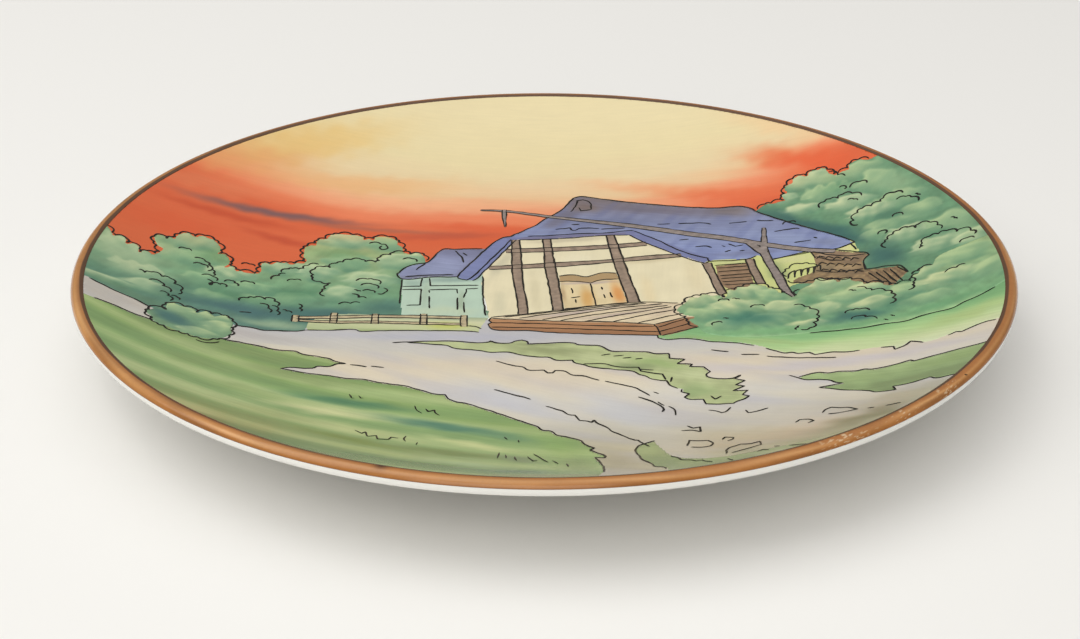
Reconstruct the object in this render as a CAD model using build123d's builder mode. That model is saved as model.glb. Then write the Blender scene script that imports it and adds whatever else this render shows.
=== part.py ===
from build123d import *

import os
from math import asin, cos, radians, sin

# A shallow coupe display plate: one fired body on a turned foot ring, dipped in clear glaze,
# then painted on the face with enamel fields, inked outlines and a brown rim band.
# Frame: origin at the centre of the foot's standing plane, +Z up, the picture's top towards +Y.

# Driving dimensions, in millimetres and degrees.
rim_radius = 130.0
wall_thickness = 4.0
face_height = 9.0  # the face's lowest point above the table
well_radius = 66.0  # where the nearly flat well turns into the wall
well_curvature = 1100.0
rim_slope = 24.0  # the wall's angle to the table at the lip
glaze_thickness = 0.3
enamel_thickness = 0.2
ink_thickness = 0.12
ink_width = 0.7
band_thickness = 0.25
band_inner_radius = 126.6
band_outer_angle = 15.0  # above the lip's widest point, where the brown stops
band_facets = 5  # straight runs of the band's section round the lip
lobe_swell = 0.12  # how far a lobe of leaves swells, as a share of its chord
foot_outer_radius = 65.0
foot_inner_radius = 59.5
foot_land = 2.4  # width of the bare ring that touches the table
foot_shoulder = 1.2  # height of the foot's bevels
smallest_patch = 1.0  # mm3: crumbs left between two outlines are dropped

# The section is two tangent arcs, then a half-round lip. Every coat is an offset of it.
lip_radius = wall_thickness / 2
well_slope = asin(well_radius / well_curvature)
lip_slope = radians(rim_slope)
wall_end_radius = rim_radius - lip_radius * (1 + sin(lip_slope))
wall_curvature = (wall_end_radius - well_radius) / (sin(lip_slope) - sin(well_slope))
well_centre = Vector(0, face_height + well_curvature)
wall_centre = Vector(
    well_radius - wall_curvature * sin(well_slope),
    well_centre.Y - (well_curvature - wall_curvature) * cos(well_slope),
)
lip_centre = wall_centre + Vector(sin(lip_slope), -cos(lip_slope)) * (wall_curvature + lip_radius)
top_of_part = lip_centre.Y + lip_radius + band_thickness
cutter_height = top_of_part + 5


def on_arc(centre, radius, slope):
    """The point on an arc where its tangent leans by slope, in radians."""
    return centre + Vector(sin(slope), -cos(slope)) * radius


def slope_at(centre, radius, x):
    """The lean of an arc's tangent where the arc is x from the plate's axis."""
    return asin((x - centre.X) / radius)


def well_arc(depth, x_from, x_to):
    """Part of the well's arc, lying depth below the finished face."""
    radius = well_curvature + depth
    slopes = [slope_at(well_centre, radius, x) for x in (x_from, x_to)]
    points = [on_arc(well_centre, radius, s) for s in (slopes[0], sum(slopes) / 2, slopes[1])]
    return ThreePointArc(*points)


def wall_arc(depth, slope_from, slope_to):
    """Part of the wall's arc, lying depth below the finished face."""
    radius = wall_curvature + depth
    slopes = (slope_from, (slope_from + slope_to) / 2, slope_to)
    return ThreePointArc(*[on_arc(wall_centre, radius, s) for s in slopes])


def lip_arc(radius, angle_from, angle_to):
    """Part of the half-round lip. Angles are about the lip's centre, anticlockwise from outwards."""
    angles = [radians(a) for a in (angle_from, (angle_from + angle_to) / 2, angle_to)]
    return ThreePointArc(*[lip_centre + Vector(cos(a), sin(a)) * radius for a in angles])


def lip_facets(radius, angle_from, angle_to):
    """Corners of a run of facets tangent to the lip's arc from outside. Angles as for lip_arc."""
    step = (angle_to - angle_from) / band_facets
    corner_radius = radius / cos(radians(step / 2))
    spots = [(radius, angle_from)]
    spots += [(corner_radius, angle_from + (k + 0.5) * step) for k in range(band_facets)]
    spots += [(radius, angle_to)]
    return [lip_centre + Vector(cos(radians(a)), sin(radians(a))) * r for r, a in spots]


face_side = 90 + rim_slope  # the lip's angle where it meets the face
back_side = rim_slope - 90  # and where it meets the back


def well_end(depth):
    """How far from the axis the well's arc ends, depth below the finished face."""
    return (well_curvature + depth) * sin(well_slope)


def export(part, name):
    """Labels a finished piece and writes it as its own STEP file."""
    part.label = name
    export_step(part, f"parts/{name}.step")


os.makedirs("parts", exist_ok=True)
body_face = glaze_thickness
body_back = wall_thickness - glaze_thickness

# The fired clay body, without its glaze.
with BuildPart() as plate_body:
    with BuildSketch(Plane.XZ):
        with BuildLine():
            face = well_arc(body_face, 0, well_end(body_face))
            wall_arc(body_face, well_slope, lip_slope)
            lip_arc(lip_radius - glaze_thickness, face_side, back_side)
            wall_arc(body_back, lip_slope, well_slope)
            back = well_arc(body_back, well_end(body_back), 0)
            Line(back @ 1, face @ 0)
        make_face()
    revolve(axis=Axis.Z)
export(plate_body.part, "plate_body")

# The turned foot, luted under the body. Its top follows the body's back.
with BuildPart() as foot_ring:
    with BuildSketch(Plane.XZ):
        with BuildLine():
            joint = well_arc(body_back, foot_inner_radius, foot_outer_radius)
            bevel = (foot_outer_radius - foot_inner_radius - foot_land) / 2
            Polyline(
                joint @ 1,
                (foot_outer_radius, foot_shoulder),
                (foot_outer_radius - bevel, 0),
                (foot_inner_radius + bevel, 0),
                (foot_inner_radius, foot_shoulder),
                joint @ 0,
            )
        make_face()
    revolve(axis=Axis.Z)
export(foot_ring.part, "foot_ring")

# One dipped coat: over the face, round the lip and down the back to the foot.
with BuildPart() as dipped_glaze:
    with BuildSketch(Plane.XZ):
        with BuildLine():
            face = well_arc(0, 0, well_end(0))
            wall_arc(0, well_slope, lip_slope)
            lip_arc(lip_radius, face_side, back_side)
            wall_arc(wall_thickness, lip_slope, well_slope)
            back = well_arc(wall_thickness, well_end(wall_thickness), foot_outer_radius)
            inner_back = well_arc(body_back, foot_outer_radius, well_end(body_back))
            Line(back @ 1, inner_back @ 0)
            wall_arc(body_back, well_slope, lip_slope)
            lip_arc(lip_radius - glaze_thickness, back_side, face_side)
            wall_arc(body_face, lip_slope, well_slope)
            inner_face = well_arc(body_face, well_end(body_face), 0)
            Line(inner_face @ 1, face @ 0)
        make_face()
    revolve(axis=Axis.Z)
export(dipped_glaze.part, "dipped_glaze")

# The glaze inside the foot ring, apart from the rest because the foot itself is wiped bare.
with BuildPart() as foot_well_glaze:
    with BuildSketch(Plane.XZ):
        with BuildLine():
            upper = well_arc(body_back, 0, foot_inner_radius)
            lower = well_arc(wall_thickness, foot_inner_radius, 0)
            Line(upper @ 1, lower @ 0)
            Line(lower @ 1, upper @ 0)
        make_face()
    revolve(axis=Axis.Z)
export(foot_well_glaze.part, "foot_well_glaze")

# The brown band, painted over the glazed lip with the plate turning on a wheel. Its facets touch
# the lip's round from outside, so it lies on the glaze without biting into it.
with BuildPart() as rim_band:
    with BuildSketch(Plane.XZ):
        with BuildLine():
            over_curvature = wall_curvature - band_thickness
            under_slope = slope_at(wall_centre, wall_curvature, band_inner_radius)
            over_slope = slope_at(wall_centre, over_curvature, band_inner_radius)
            under = lip_facets(lip_radius, face_side, band_outer_angle)
            over = lip_facets(lip_radius + band_thickness, band_outer_angle, face_side)
            Polyline(
                on_arc(wall_centre, wall_curvature, under_slope),
                *under,
                *over,
                on_arc(wall_centre, over_curvature, over_slope),
                close=True,
            )
        make_face()
    revolve(axis=Axis.Z)
export(rim_band.part, "rim_band")


def coat(depth_from, depth_to):
    """A thin dish over the whole painted face, between two depths (negative is above the glaze)."""
    with BuildPart() as dish:
        with BuildSketch(Plane.XZ):
            with BuildLine():
                low = well_arc(depth_from, 0, well_end(depth_from))
                low_end = slope_at(wall_centre, wall_curvature + depth_from, band_inner_radius)
                high_end = slope_at(wall_centre, wall_curvature + depth_to, band_inner_radius)
                low_wall = wall_arc(depth_from, well_slope, low_end)
                high_wall = wall_arc(depth_to, high_end, well_slope)
                high = well_arc(depth_to, well_end(depth_to), 0)
                Line(low_wall @ 1, high_wall @ 0)
                Line(high @ 1, low @ 0)
            make_face()
        revolve(axis=Axis.Z)
    return dish.part


enamel_coat = coat(0, -enamel_thickness)
ink_coat = coat(-enamel_thickness, -enamel_thickness - ink_thickness)

# The picture's outlines, in plan, in the order they are painted. Each later field takes its place
# out of the ones before it. A "lobed" outline swells outwards between its points, as leaves do,
# and runs anticlockwise. A "straight" one has plain corners.
horizon = -5.0  # hidden behind the trees and the house, it parts the sky from the path
far = rim_radius + 5
picture = {
    "sky_enamel": ("straight", [(-far, horizon), (far, horizon), (far, far), (-far, far)]),
    "path_enamel": ("straight", [(-far, horizon), (-far, -far), (far, -far), (far, horizon)]),
    "left_verge_enamel": ("straight", [
        (-far, -8), (-104, -15), (-68, -15), (-40, -12), (-18, -14), (-16, -20), (-18, -21.4),
        (-30, -21.8), (-51, -23), (-65, -25), (-76, -27.2), (-107, -26), (-115, -22.6), (-far, -17)]),
    "left_trees_enamel": ("lobed", [
        (-132, -12.5), (-104, -19), (-84, -20), (-68, -14), (-38, -10.5), (-34, 10), (-35, 25.5),
        (-38, 30), (-42.3, 31.2), (-44, 36.5), (-49, 40.3), (-53.5, 38.5), (-58, 40), (-64, 39.7),
        (-68, 36), (-69, 32), (-71.8, 28), (-71.5, 19.5), (-78, 17.8), (-82.5, 15), (-83, 9.5),
        (-86.5, 8), (-90, 9.6), (-91, 14), (-94, 17.8), (-95.5, 22.5), (-99.5, 25.6), (-102.5, 24),
        (-105, 25), (-108, 20.5), (-112, 19.5), (-113, 15), (-110, 11), (-112, 7), (-116, 9),
        (-118.5, 8.5), (-120, 11.5), (-123, 9.5), (-132, 12)]),
    "right_verge_enamel": ("straight", [
        (31, -26.5), (36, -27.3), (45, -30), (56, -33), (64, -38.5), (75, -42.4), (95, -46.3),
        (far, -46), (far, -20), (84, -20), (50, -12), (41, -20)]),
    "right_trees_enamel": ("lobed", [
        (134, 60), (112, 70), (100, 71.9), (95.5, 69), (92, 67), (89.5, 71.5), (86, 72.6),
        (82, 71.4), (78.5, 70), (76, 66.5), (74.2, 62), (75, 59.3), (70, 58.3), (62, 54),
        (58, 20), (64, -8), (100, -14), (134, -10)]),
    "annex_wall_enamel": ("straight", [
        (-41.3, 10.8), (-34, 20), (-15, 30), (-12, -13), (-15.5, -20.5), (-18, -20.5), (-22, -14),
        (-40.3, -12.5)]),
    "house_wall_enamel": ("straight", [
        (-18.2, 12.5), (-21, 17), (-12, 38), (-7, 43), (27, 45), (50.5, 24), (50.5, -3), (38, -9),
        (20, -9), (-4, -14), (-15.3, -14), (-17.8, 5)]),
    "side_wall_enamel": ("straight", [
        (48.5, 27), (48.5, -6), (73, -6), (79, 2), (93, 2), (93, 24.5), (88, 30), (70, 28)]),
    "roof_enamel": ("straight", [
        (10, 70.5), (13.5, 70), (25, 66.4), (40, 62.5), (58, 58.5), (62, 58.5), (70, 51), (80, 40.5),
        (89, 31.5), (91.5, 27), (86, 26.3), (75, 25), (62, 24.3), (49.3, 24.3), (47.5, 22.2),
        (45.5, 23), (33, 36), (26.5, 43.2), (8, 42.4), (-8.5, 40.3), (-13, 31), (-17, 21),
        (-19.5, 12), (-23.5, 11.5), (-25, 13.5), (-24.3, 17), (-20.5, 27), (-13, 40), (-10, 42.5),
        (-3.5, 48.5), (-1, 53), (6, 62), (8, 67)]),
    "annex_roof_enamel": ("straight", [
        (-30.5, 33), (-17.7, 33.4), (-20.5, 27), (-24.3, 17), (-25, 14.4), (-35, 13), (-41, 11),
        (-42.5, 13), (-42, 16.5), (-40, 20.5), (-34, 26), (-32.5, 30)]),
    "deck_enamel": ("straight", [
        (-14.5, -12.6), (4, -8.6), (20, -3.6), (38, -4.8), (39.5, -13.5), (41.5, -20), (33, -24.9),
        (10, -22.6), (-13, -20.8), (-15.5, -17)]),
    "door_enamel": ("straight", [
        (4, 15), (8, 16), (12, 14.4), (16.5, 16.8), (21.6, 16.2), (23.4, -2.8), (14.5, -5),
        (5.6, -7.2)]),
    "shutter_enamel": ("straight", [
        (50.2, 20.3), (59.8, 20), (61, 7.2), (57, 5.6), (54, 4.4), (51.8, 2)]),
    "log_pile_enamel": ("straight", [
        (70, 13), (73, 17), (78, 20), (78.8, 26.5), (85, 23.5), (92, 21.5), (95, 17), (93.5, 11),
        (97, 6), (102.5, 5.5), (103, 0), (101, -4.6), (97, -4.6), (92, -1), (88, 4.6), (82, 7.6),
        (74, 6)]),
    "right_bushes_enamel": ("lobed", [
        (38.5, -13), (41, -20.5), (46, -26), (60, -28.5), (73, -27.6), (84, -28.8), (98, -29.5),
        (108, -29.4), (118, -26.5), (134, -20), (134, 4), (124, 11), (119, 17.8), (113, 18),
        (108, 12.5), (103, 5), (101, -7), (96, -5), (90, -0.5), (84, 6), (79, 7.3), (73, 4), (71.3, -3),
        (68, 0), (64.5, 4), (60, 7), (54, 4.3), (50.5, -1), (47, 1), (43, 0.8), (39, -1.5), (37, -6)]),
    "bush_enamel": ("lobed", [
        (-105.8, -32.5), (-102.5, -36), (-97, -37.6), (-92, -39.4), (-86.5, -37), (-84, -31),
        (-84.2, -26), (-87, -20.6), (-91, -20), (-96, -21), (-100, -19.6), (-103, -22), (-105, -25.4),
        (-106.6, -29)]),
    "lawn_enamel": ("straight", [
        (-far, -30), (-113, -32.4), (-105, -34.7), (-85, -37), (-65, -39.5), (-56, -42),
        (-52.5, -44.3), (-56, -46.5), (-60, -48.5), (-68.5, -51), (-60, -52.3), (-45, -54.3),
        (-35, -57), (-25, -62.5), (-12, -71), (-5, -77), (0, -83), (9, -90.5), (11.5, -96),
        (14, -103.5), (12, -106), (13.8, -114), (13.6, -119.5), (10, -122), (10, -far), (-far, -far)]),
    "middle_grass_enamel": ("straight", [
        (-40, -30), (-30, -28.7), (-10, -28.7), (-6.5, -27), (-4, -29.4), (8, -29), (15, -30.5),
        (18.5, -34.3), (28, -35.2), (33.4, -37), (34, -39.5), (37, -40.5), (35.5, -43),
        (42, -45.5), (43.5, -48), (42.5, -51), (49, -53), (51.5, -55), (49.5, -59), (51.8, -61.5),
        (51, -66), (47, -69.3), (41, -69), (40, -65.5), (36.5, -64.5), (35, -58.5), (32.4, -56.5),
        (31.4, -52.5), (24, -48.5), (12, -43.8), (8, -40.3), (-5, -37), (-15, -34.8), (-27, -31)]),
    "right_grass_enamel": ("straight", [
        (63, -54.5), (72, -55.2), (84, -58), (105, -59), (far, -60), (far, -77), (103, -77.7),
        (96.5, -76.8), (95.5, -74.6), (86, -74.6), (85.5, -77), (80.5, -75.6), (75, -70),
        (69.4, -65), (76, -64.6), (72.5, -60.5), (67, -58)]),
    "front_grass_enamel": ("straight", [
        (22, -99), (25, -93.5), (28, -99), (28.6, -106), (34, -111), (40, -114), (52, -109),
        (64, -105.5), (80, -104), (80, -118), (52, -126), (27, -134), (25.5, -118), (22.6, -107)]),
}

# Straight members: each is a run of points along its middle, with its width.
timbers = [
    (2.6, [(-9, 39.5), (-8.3, 20), (-6.4, 0), (-5.7, -10.4)]),
    (2.6, [(0.6, 40.8), (1.6, 20), (3.6, 1), (4.1, -7.8)]),
    (2.6, [(20, 42.8), (22, 25), (24.5, 5), (25.3, -3)]),
    (2.2, [(-11, 31.6), (0, 33.1), (20, 35.4), (32, 36.6)]),
    (2.2, [(-16, 20.5), (1, 22.2), (20, 25.3), (39.5, 28)]),
    (2.8, [(48.2, 21.4), (49.3, 12), (50.8, 0.6)]),
    (2.4, [(60.8, 23.8), (61.9, 12), (62.9, 5.5)]),
]
fence_rails = [
    (1.4, [(-68.5, -16.6), (-46, -13.7), (-24, -12.8)]),
    (1.4, [(-68, -18.8), (-46, -16.6), (-24, -15.6)]),
    (1.8, [(-58.2, -13.5), (-57.8, -19.2)]),
    (1.8, [(-46.6, -12.4), (-46.2, -18.6)]),
    (1.8, [(-33.3, -11.2), (-33.3, -18.4)]),
    (2.0, [(-22.3, -11.8), (-22.3, -18.4)]),
]
poles = [
    (1.3, [(-20, 60.8), (-12, 60.6), (2, 57), (30, 49.5)]),
    (2.2, [(30, 49.5), (60, 38.5), (78, 29), (92, 22.4)]),
    (0.8, [(-13.2, 60.4), (-12, 48.5)]),
    (3.0, [(62.5, 35), (65.8, 24), (68.4, 8), (69.3, 1)]),
    (1.6, [(66.6, 43.5), (66, 31), (66.2, 24)]),
]

# The main inked outlines, drawn along the edges of the fields.
inked = [
    [(-123, 10), (-121, 11.8), (-119, 8), (-116, 9.3), (-115.3, 5)],
    [(-115, 7), (-112, 7), (-110, 12), (-113.3, 16), (-112, 19.3), (-108, 19.6)],
    [(-108, 20), (-105, 25), (-102, 24), (-99.5, 25.6), (-95.5, 22), (-94, 17.5), (-91, 13), (-92, 10)],
    [(-83, 8.8), (-83, 14.5), (-78, 17.8), (-71, 19.5), (-70, 21)],
    [(-71.5, 23), (-72, 28), (-69, 32), (-68.5, 35), (-64.5, 39.5), (-58, 40), (-53, 38.5)],
    [(-52, 40), (-47.5, 40.3), (-43, 35), (-42.5, 31.5), (-38, 30), (-35.3, 25.5)],
    [(-83.8, -26.5), (-76, -27.2), (-65, -25), (-51, -23), (-30, -21.8), (-19, -21.4)],
    [(-122, -20.8), (-115, -22.8), (-107.5, -26)],
    [(-120, -31.7), (-113, -32.4), (-105, -34.8)],
    [(-84, -37), (-65, -39.5), (-56, -42), (-52.5, -44.3), (-56, -46.5), (-68.5, -51)],
    [(-67, -51.5), (-45, -54.3), (-35, -57), (-27, -61)],
    [(-25, -61.5), (-12, -71), (-5, -77), (0, -83), (9, -90.5), (14, -103.5)],
    [(10.5, 70), (25, 66.2), (40, 62.3), (58, 58.6), (62, 58.4), (65, 56)],
    [(8.5, 68), (5.5, 61.5), (-1.5, 52.5), (-4, 48.2)],
    [(-10, 42), (-16, 34.5), (-20.5, 26.5), (-24.4, 17), (-24.8, 13), (-23, 11.8)],
    [(-20.5, 12), (-16.5, 21.5), (-9, 40)],
    [(27.5, 45), (33, 38.8), (40, 31.6), (48, 25), (61.5, 26)],
    [(40.5, 27.8), (46.5, 22.4), (49, 23.8), (61, 24.6)],
    [(-34, 25.5), (-40, 20.5), (-42.6, 14), (-41, 11.2), (-35, 12.6), (-27, 14.6)],
    [(31, -25.5), (36, -27.4), (45, -30), (56, -33)],
    [(60, -35.5), (64, -38.7), (75, -42.3), (83, -43.8)],
    [(46, -35.2), (57, -38.8), (76, -45.8)],
    [(-40, -30), (-20, -28.5), (-4, -29.4), (14, -30.4), (18, -34.3), (32, -36)],
    [(-31, -30.4), (-23, -33), (-9, -35.2), (2, -38), (12, -43.8), (24, -48.4), (31.4, -53)],
    [(63, -54), (80, -57.4), (95, -59), (103, -58.6)],
    [(64, -55.6), (73, -61.3), (76, -64.6), (69.5, -65), (75, -70), (85, -77), (86, -74.6), (95.5, -74.6)],
    [(0.5, -67.4), (8, -73.2), (9.5, -77), (12.5, -77), (16, -82), (21, -90.5), (25, -97)],
    [(38.5, -4), (42, -0.6), (46, 1), (51, -1), (54, 4), (60, 7), (64.5, 4)],
    [(75, 59.5), (74.2, 62.5), (76.5, 67.3), (79, 70.4), (86, 72.7), (90, 71)],
    [(92, 66.6), (95, 68.8), (99, 71.6), (103, 70.4)],
    [(-14.6, -12.8), (-15.4, -17), (-13.4, -20.7), (10, -22.5), (32.5, -24.8)],
    [(-14.5, -13.2), (5, -15), (20, -16.4), (30.5, -17), (31, -20), (32.5, -24.8)],
    [(31, -17.4), (39.5, -13.6), (41.4, -19.8), (33, -24.6)],
]


def plan(kind, points):
    """A field's outline as a flat face."""
    with BuildSketch(mode=Mode.PRIVATE) as sketch:
        with BuildLine():
            if kind == "lobed":
                corners = [Vector(*point) for point in points]
                for start, end in zip(corners, corners[1:] + corners[:1]):
                    SagittaArc(start, end, -lobe_swell * (end - start).length)
            else:
                Polyline(*points, close=True)
        make_face()
    return sketch.sketch


def stripes(members):
    """Flat faces for members given by their middle line and width, joined where they cross."""
    with BuildSketch(mode=Mode.PRIVATE) as sketch:
        for width, points in members:
            with BuildLine(mode=Mode.PRIVATE) as middle:
                Polyline(*points)
            with BuildLine():
                offset(middle.wire(), amount=width / 2, kind=Kind.ARC)
            make_face()
    return sketch.sketch


def paint(name, shape, layer):
    """Cuts one painted field out of a coat, drops any crumbs, and writes it."""
    with BuildPart() as field:
        with BuildSketch():
            add(shape)
        extrude(amount=cutter_height)
        add(layer, mode=Mode.INTERSECT)
    patches = [s for s in field.part.solids() if s.volume > smallest_patch]
    export(Compound(children=patches), name)


fields = {name: plan(*outline) for name, outline in picture.items()}
fields["timber_enamel"] = stripes(timbers)
fields["fence_enamel"] = stripes(fence_rails)
fields["pole_enamel"] = stripes(poles)
names = list(fields)
for place, name in enumerate(names):
    shape = fields[name]
    for later in names[place + 1:]:
        if shape.bounding_box().overlaps(fields[later].bounding_box()):
            shape = shape - fields[later]
    paint(name, shape, enamel_coat)

paint("ink_lines", stripes([(ink_width, points) for points in inked]), ink_coat)
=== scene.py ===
from math import asin, cos, pi, radians, sin

import bpy
import numpy as np
from mathutils import Matrix, Vector


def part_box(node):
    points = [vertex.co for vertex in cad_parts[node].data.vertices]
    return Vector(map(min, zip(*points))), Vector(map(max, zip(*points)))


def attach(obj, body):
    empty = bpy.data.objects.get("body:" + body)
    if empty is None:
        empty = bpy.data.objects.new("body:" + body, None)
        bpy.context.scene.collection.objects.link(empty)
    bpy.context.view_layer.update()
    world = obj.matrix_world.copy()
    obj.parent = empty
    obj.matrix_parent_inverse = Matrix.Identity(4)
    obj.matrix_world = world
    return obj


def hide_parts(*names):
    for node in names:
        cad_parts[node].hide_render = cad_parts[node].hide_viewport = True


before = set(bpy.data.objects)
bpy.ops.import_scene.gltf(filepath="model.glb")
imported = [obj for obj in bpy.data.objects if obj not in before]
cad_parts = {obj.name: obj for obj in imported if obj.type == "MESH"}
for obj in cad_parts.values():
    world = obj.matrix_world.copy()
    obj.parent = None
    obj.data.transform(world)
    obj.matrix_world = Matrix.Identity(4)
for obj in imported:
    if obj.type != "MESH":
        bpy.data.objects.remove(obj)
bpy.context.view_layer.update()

mm = 0.001
print("frame loaded with", len(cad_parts), "CAD nodes")

# the plate's shape, in millimetres and degrees, as the CAD has it
plateShape = dict(wall=4.0, faceHeight=9.0, wellRadius=66.0, wellCurve=1100.0, rimSlope=24.0,
                  glaze=0.3, footOuter=65.0, footInner=59.5, footLand=2.4, footBevel=1.2)
rimRadius = round(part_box("dipped_glaze")[1].x / mm)
lipRadius = plateShape["wall"] / 2
wellSlope = asin(plateShape["wellRadius"] / plateShape["wellCurve"])
lipSlope = radians(plateShape["rimSlope"])
wallEnd = rimRadius - lipRadius * (1 + sin(lipSlope))
wallCurve = (wallEnd - plateShape["wellRadius"]) / (sin(lipSlope) - sin(wellSlope))
wellTop = plateShape["faceHeight"] + plateShape["wellCurve"]
wallX = plateShape["wellRadius"] - wallCurve * sin(wellSlope)
wallZ = wellTop - (plateShape["wellCurve"] - wallCurve) * cos(wellSlope)
lipX = wallX + sin(lipSlope) * (wallCurve + lipRadius)
lipZ = wallZ - cos(lipSlope) * (wallCurve + lipRadius)


def faceHeight(r):
    # height of the glazed face at a distance r from the axis: the well's arc, then the wall's
    well = wellTop - np.sqrt(plateShape["wellCurve"] ** 2 - np.minimum(r, plateShape["wellRadius"]) ** 2)
    wall = wallZ - np.sqrt(wallCurve ** 2 - (np.clip(r, wallX, wallEnd) - wallX) ** 2)
    return np.where(r < plateShape["wellRadius"], well, wall)


def arc(centre, radius, start, end, count):
    # points (r, z) on a circle about centre, at evenly spaced angles in radians
    angle = np.linspace(start, end, count)
    return np.stack([centre[0] + radius * np.cos(angle), centre[1] + radius * np.sin(angle)], 1)


def wellArc(depth, rStart, rEnd, count):
    # the well's section, depth below the face, between two distances from the axis
    r = np.linspace(rStart, rEnd, count)
    return np.stack([r, wellTop - np.sqrt((plateShape["wellCurve"] + depth) ** 2 - r ** 2)], 1)


def wallArc(depth, slopeStart, slopeEnd, count):
    # the wall's section, depth below the face, between two slopes
    return arc((wallX, wallZ), wallCurve + depth, slopeStart - pi / 2, slopeEnd - pi / 2, count)


def lipArc(radius, start, end, count):
    # the half-round lip's section, at a radius about its middle
    return arc((lipX, lipZ), radius, start, end, count)


# meshes from whole arrays

def addPiece(name, points, faces, node, material, colour=None):
    # points in millimetres; faces is a list of index arrays, one for each number of corners
    mesh = bpy.data.meshes.new(name)
    mesh.vertices.add(len(points))
    mesh.vertices.foreach_set("co", (np.asarray(points) * mm).astype(np.float32).ravel())
    corners = np.concatenate([f.ravel() for f in faces]).astype(np.int32)
    sizes = np.concatenate([np.full(len(f), f.shape[1]) for f in faces])
    mesh.loops.add(len(corners))
    mesh.loops.foreach_set("vertex_index", corners)
    mesh.polygons.add(len(sizes))
    mesh.polygons.foreach_set("loop_start", (np.cumsum(sizes) - sizes).astype(np.int32))
    mesh.polygons.foreach_set("use_smooth", np.ones(len(sizes), dtype=bool))
    mesh.update(calc_edges=True)
    if colour is not None:
        wash = mesh.attributes.new("wash", "FLOAT_COLOR", "POINT")
        linear = np.where(colour <= 10.3, colour / 255 / 12.92, ((colour / 255 + 0.055) / 1.055) ** 2.4)
        wash.data.foreach_set("color",
                              np.column_stack([linear, np.ones(len(linear))]).astype(np.float32).ravel())
    mesh.materials.append(material)
    piece = bpy.data.objects.new(name, mesh)
    bpy.context.scene.collection.objects.link(piece)
    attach(piece, "root")
    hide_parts(node)
    return piece


def turned(name, profile, around, node, material, paint=None):
    # each point (r, z) of a closed profile is carried round the axis to (r cos a, r sin a, z);
    # a profile that starts and ends on the axis closes with a fan of triangles at each end
    angle = np.arange(around) / around * 2 * pi
    capped = profile[0, 0] < 1e-6
    ring = profile[1:-1] if capped else profile
    rows = len(ring)
    x = ring[:, :1] * np.cos(angle)
    y = ring[:, :1] * np.sin(angle)
    z = np.repeat(ring[:, 1:], around, axis=1)
    points = np.stack([x, y, z], -1).reshape(-1, 3)
    i = np.arange(rows - 1 if capped else rows)[:, None]
    j = np.arange(around)[None]
    up, turn = (i + 1) % rows, (j + 1) % around
    quads = np.stack([i * around + j, up * around + j, up * around + turn, i * around + turn],
                     -1).reshape(-1, 4)
    faces = [quads]
    if capped:
        first, last = len(points), len(points) + 1
        points = np.vstack([points, [0, 0, profile[0, 1]], [0, 0, profile[-1, 1]]])
        j, turn = np.arange(around), (np.arange(around) + 1) % around
        base = (rows - 1) * around
        faces.append(np.stack([np.full(around, first), j, turn], 1))
        faces.append(np.stack([base + j, np.full(around, last), base + turn], 1))
    colour = paint(points[:, 0], points[:, 1], points[:, 2]) if paint else None
    return addPiece(name, points, faces, node, material, colour)


def softNoise(x, y, size, seed):
    # a smooth wander between about -1 and 1: seven sine waves of about the same length,
    # each with its own heading and start
    draw = np.random.default_rng(seed)
    heading = draw.uniform(0, 2 * pi, 7)
    length = size * draw.uniform(0.6, 1.7, 7)
    start = draw.uniform(0, 2 * pi, 7)
    along = np.multiply.outer(x, np.cos(heading)) + np.multiply.outer(y, np.sin(heading))
    return np.sin(along * 2 * pi / length + start).sum(-1) / 3.2


def curveThrough(points, spacing, closed=False, corner=50):
    # a smooth curve through the points: each is joined to the next by a cubic whose end tangents
    # follow the neighbours, and a turn sharper than corner degrees stays a corner
    p = np.asarray(points, float)
    q = np.vstack([p[-1], p, p[0], p[1]]) if closed else np.vstack([2 * p[0] - p[1], p, 2 * p[-1] - p[-2]])
    a, b = q[1:-2] if closed else q[1:-1][:-1], q[2:-1] if closed else q[2:-1]
    before, after = a - q[:len(a)], q[3:] - b if closed else q[3:3 + len(b)] - b
    step = b - a
    size = np.linalg.norm(step, axis=1, keepdims=True) + 1e-9

    def tangent(one, other, own):
        # the mean direction of the two runs that meet at a point, or the run's own at a corner
        u = one / (np.linalg.norm(one, axis=1, keepdims=True) + 1e-9)
        v = other / (np.linalg.norm(other, axis=1, keepdims=True) + 1e-9)
        mean = u + v
        mean /= np.linalg.norm(mean, axis=1, keepdims=True) + 1e-9
        sharp = (u * v).sum(1, keepdims=True) < cos(radians(corner))
        return np.where(sharp, own, mean)

    unit = step / size
    start, end = tangent(before, step, unit) * size, tangent(step, after, unit) * size
    counts = np.maximum(np.ceil(size[:, 0] / spacing), 1).astype(int)
    run = np.repeat(np.arange(len(a)), counts)
    t = ((np.arange(counts.sum()) - np.repeat(np.cumsum(counts) - counts, counts)) / counts[run])[:, None]
    h = [2 * t ** 3 - 3 * t ** 2 + 1, t ** 3 - 2 * t ** 2 + t, 3 * t ** 2 - 2 * t ** 3, t ** 3 - t ** 2]
    line = h[0] * a[run] + h[1] * start[run] + h[2] * b[run] + h[3] * end[run]
    return line if closed else np.vstack([line, p[-1]])


def insideGrid(loop, xs, ys):
    # which grid points lie inside a closed loop: those to the right of an odd number of its edges
    a, b = loop, np.roll(loop, -1, axis=0)
    row, edge = np.nonzero((a[:, 1] <= ys[:, None]) != (b[:, 1] <= ys[:, None]))
    x = a[edge, 0] + (ys[row] - a[edge, 1]) / (b[edge, 1] - a[edge, 1]) * (b[edge, 0] - a[edge, 0])
    count = np.zeros((len(ys), len(xs) + 1), int)
    np.add.at(count, (row, np.searchsorted(xs, x)), 1)
    return np.cumsum(count, axis=1)[:, :-1] % 2 == 1


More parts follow.
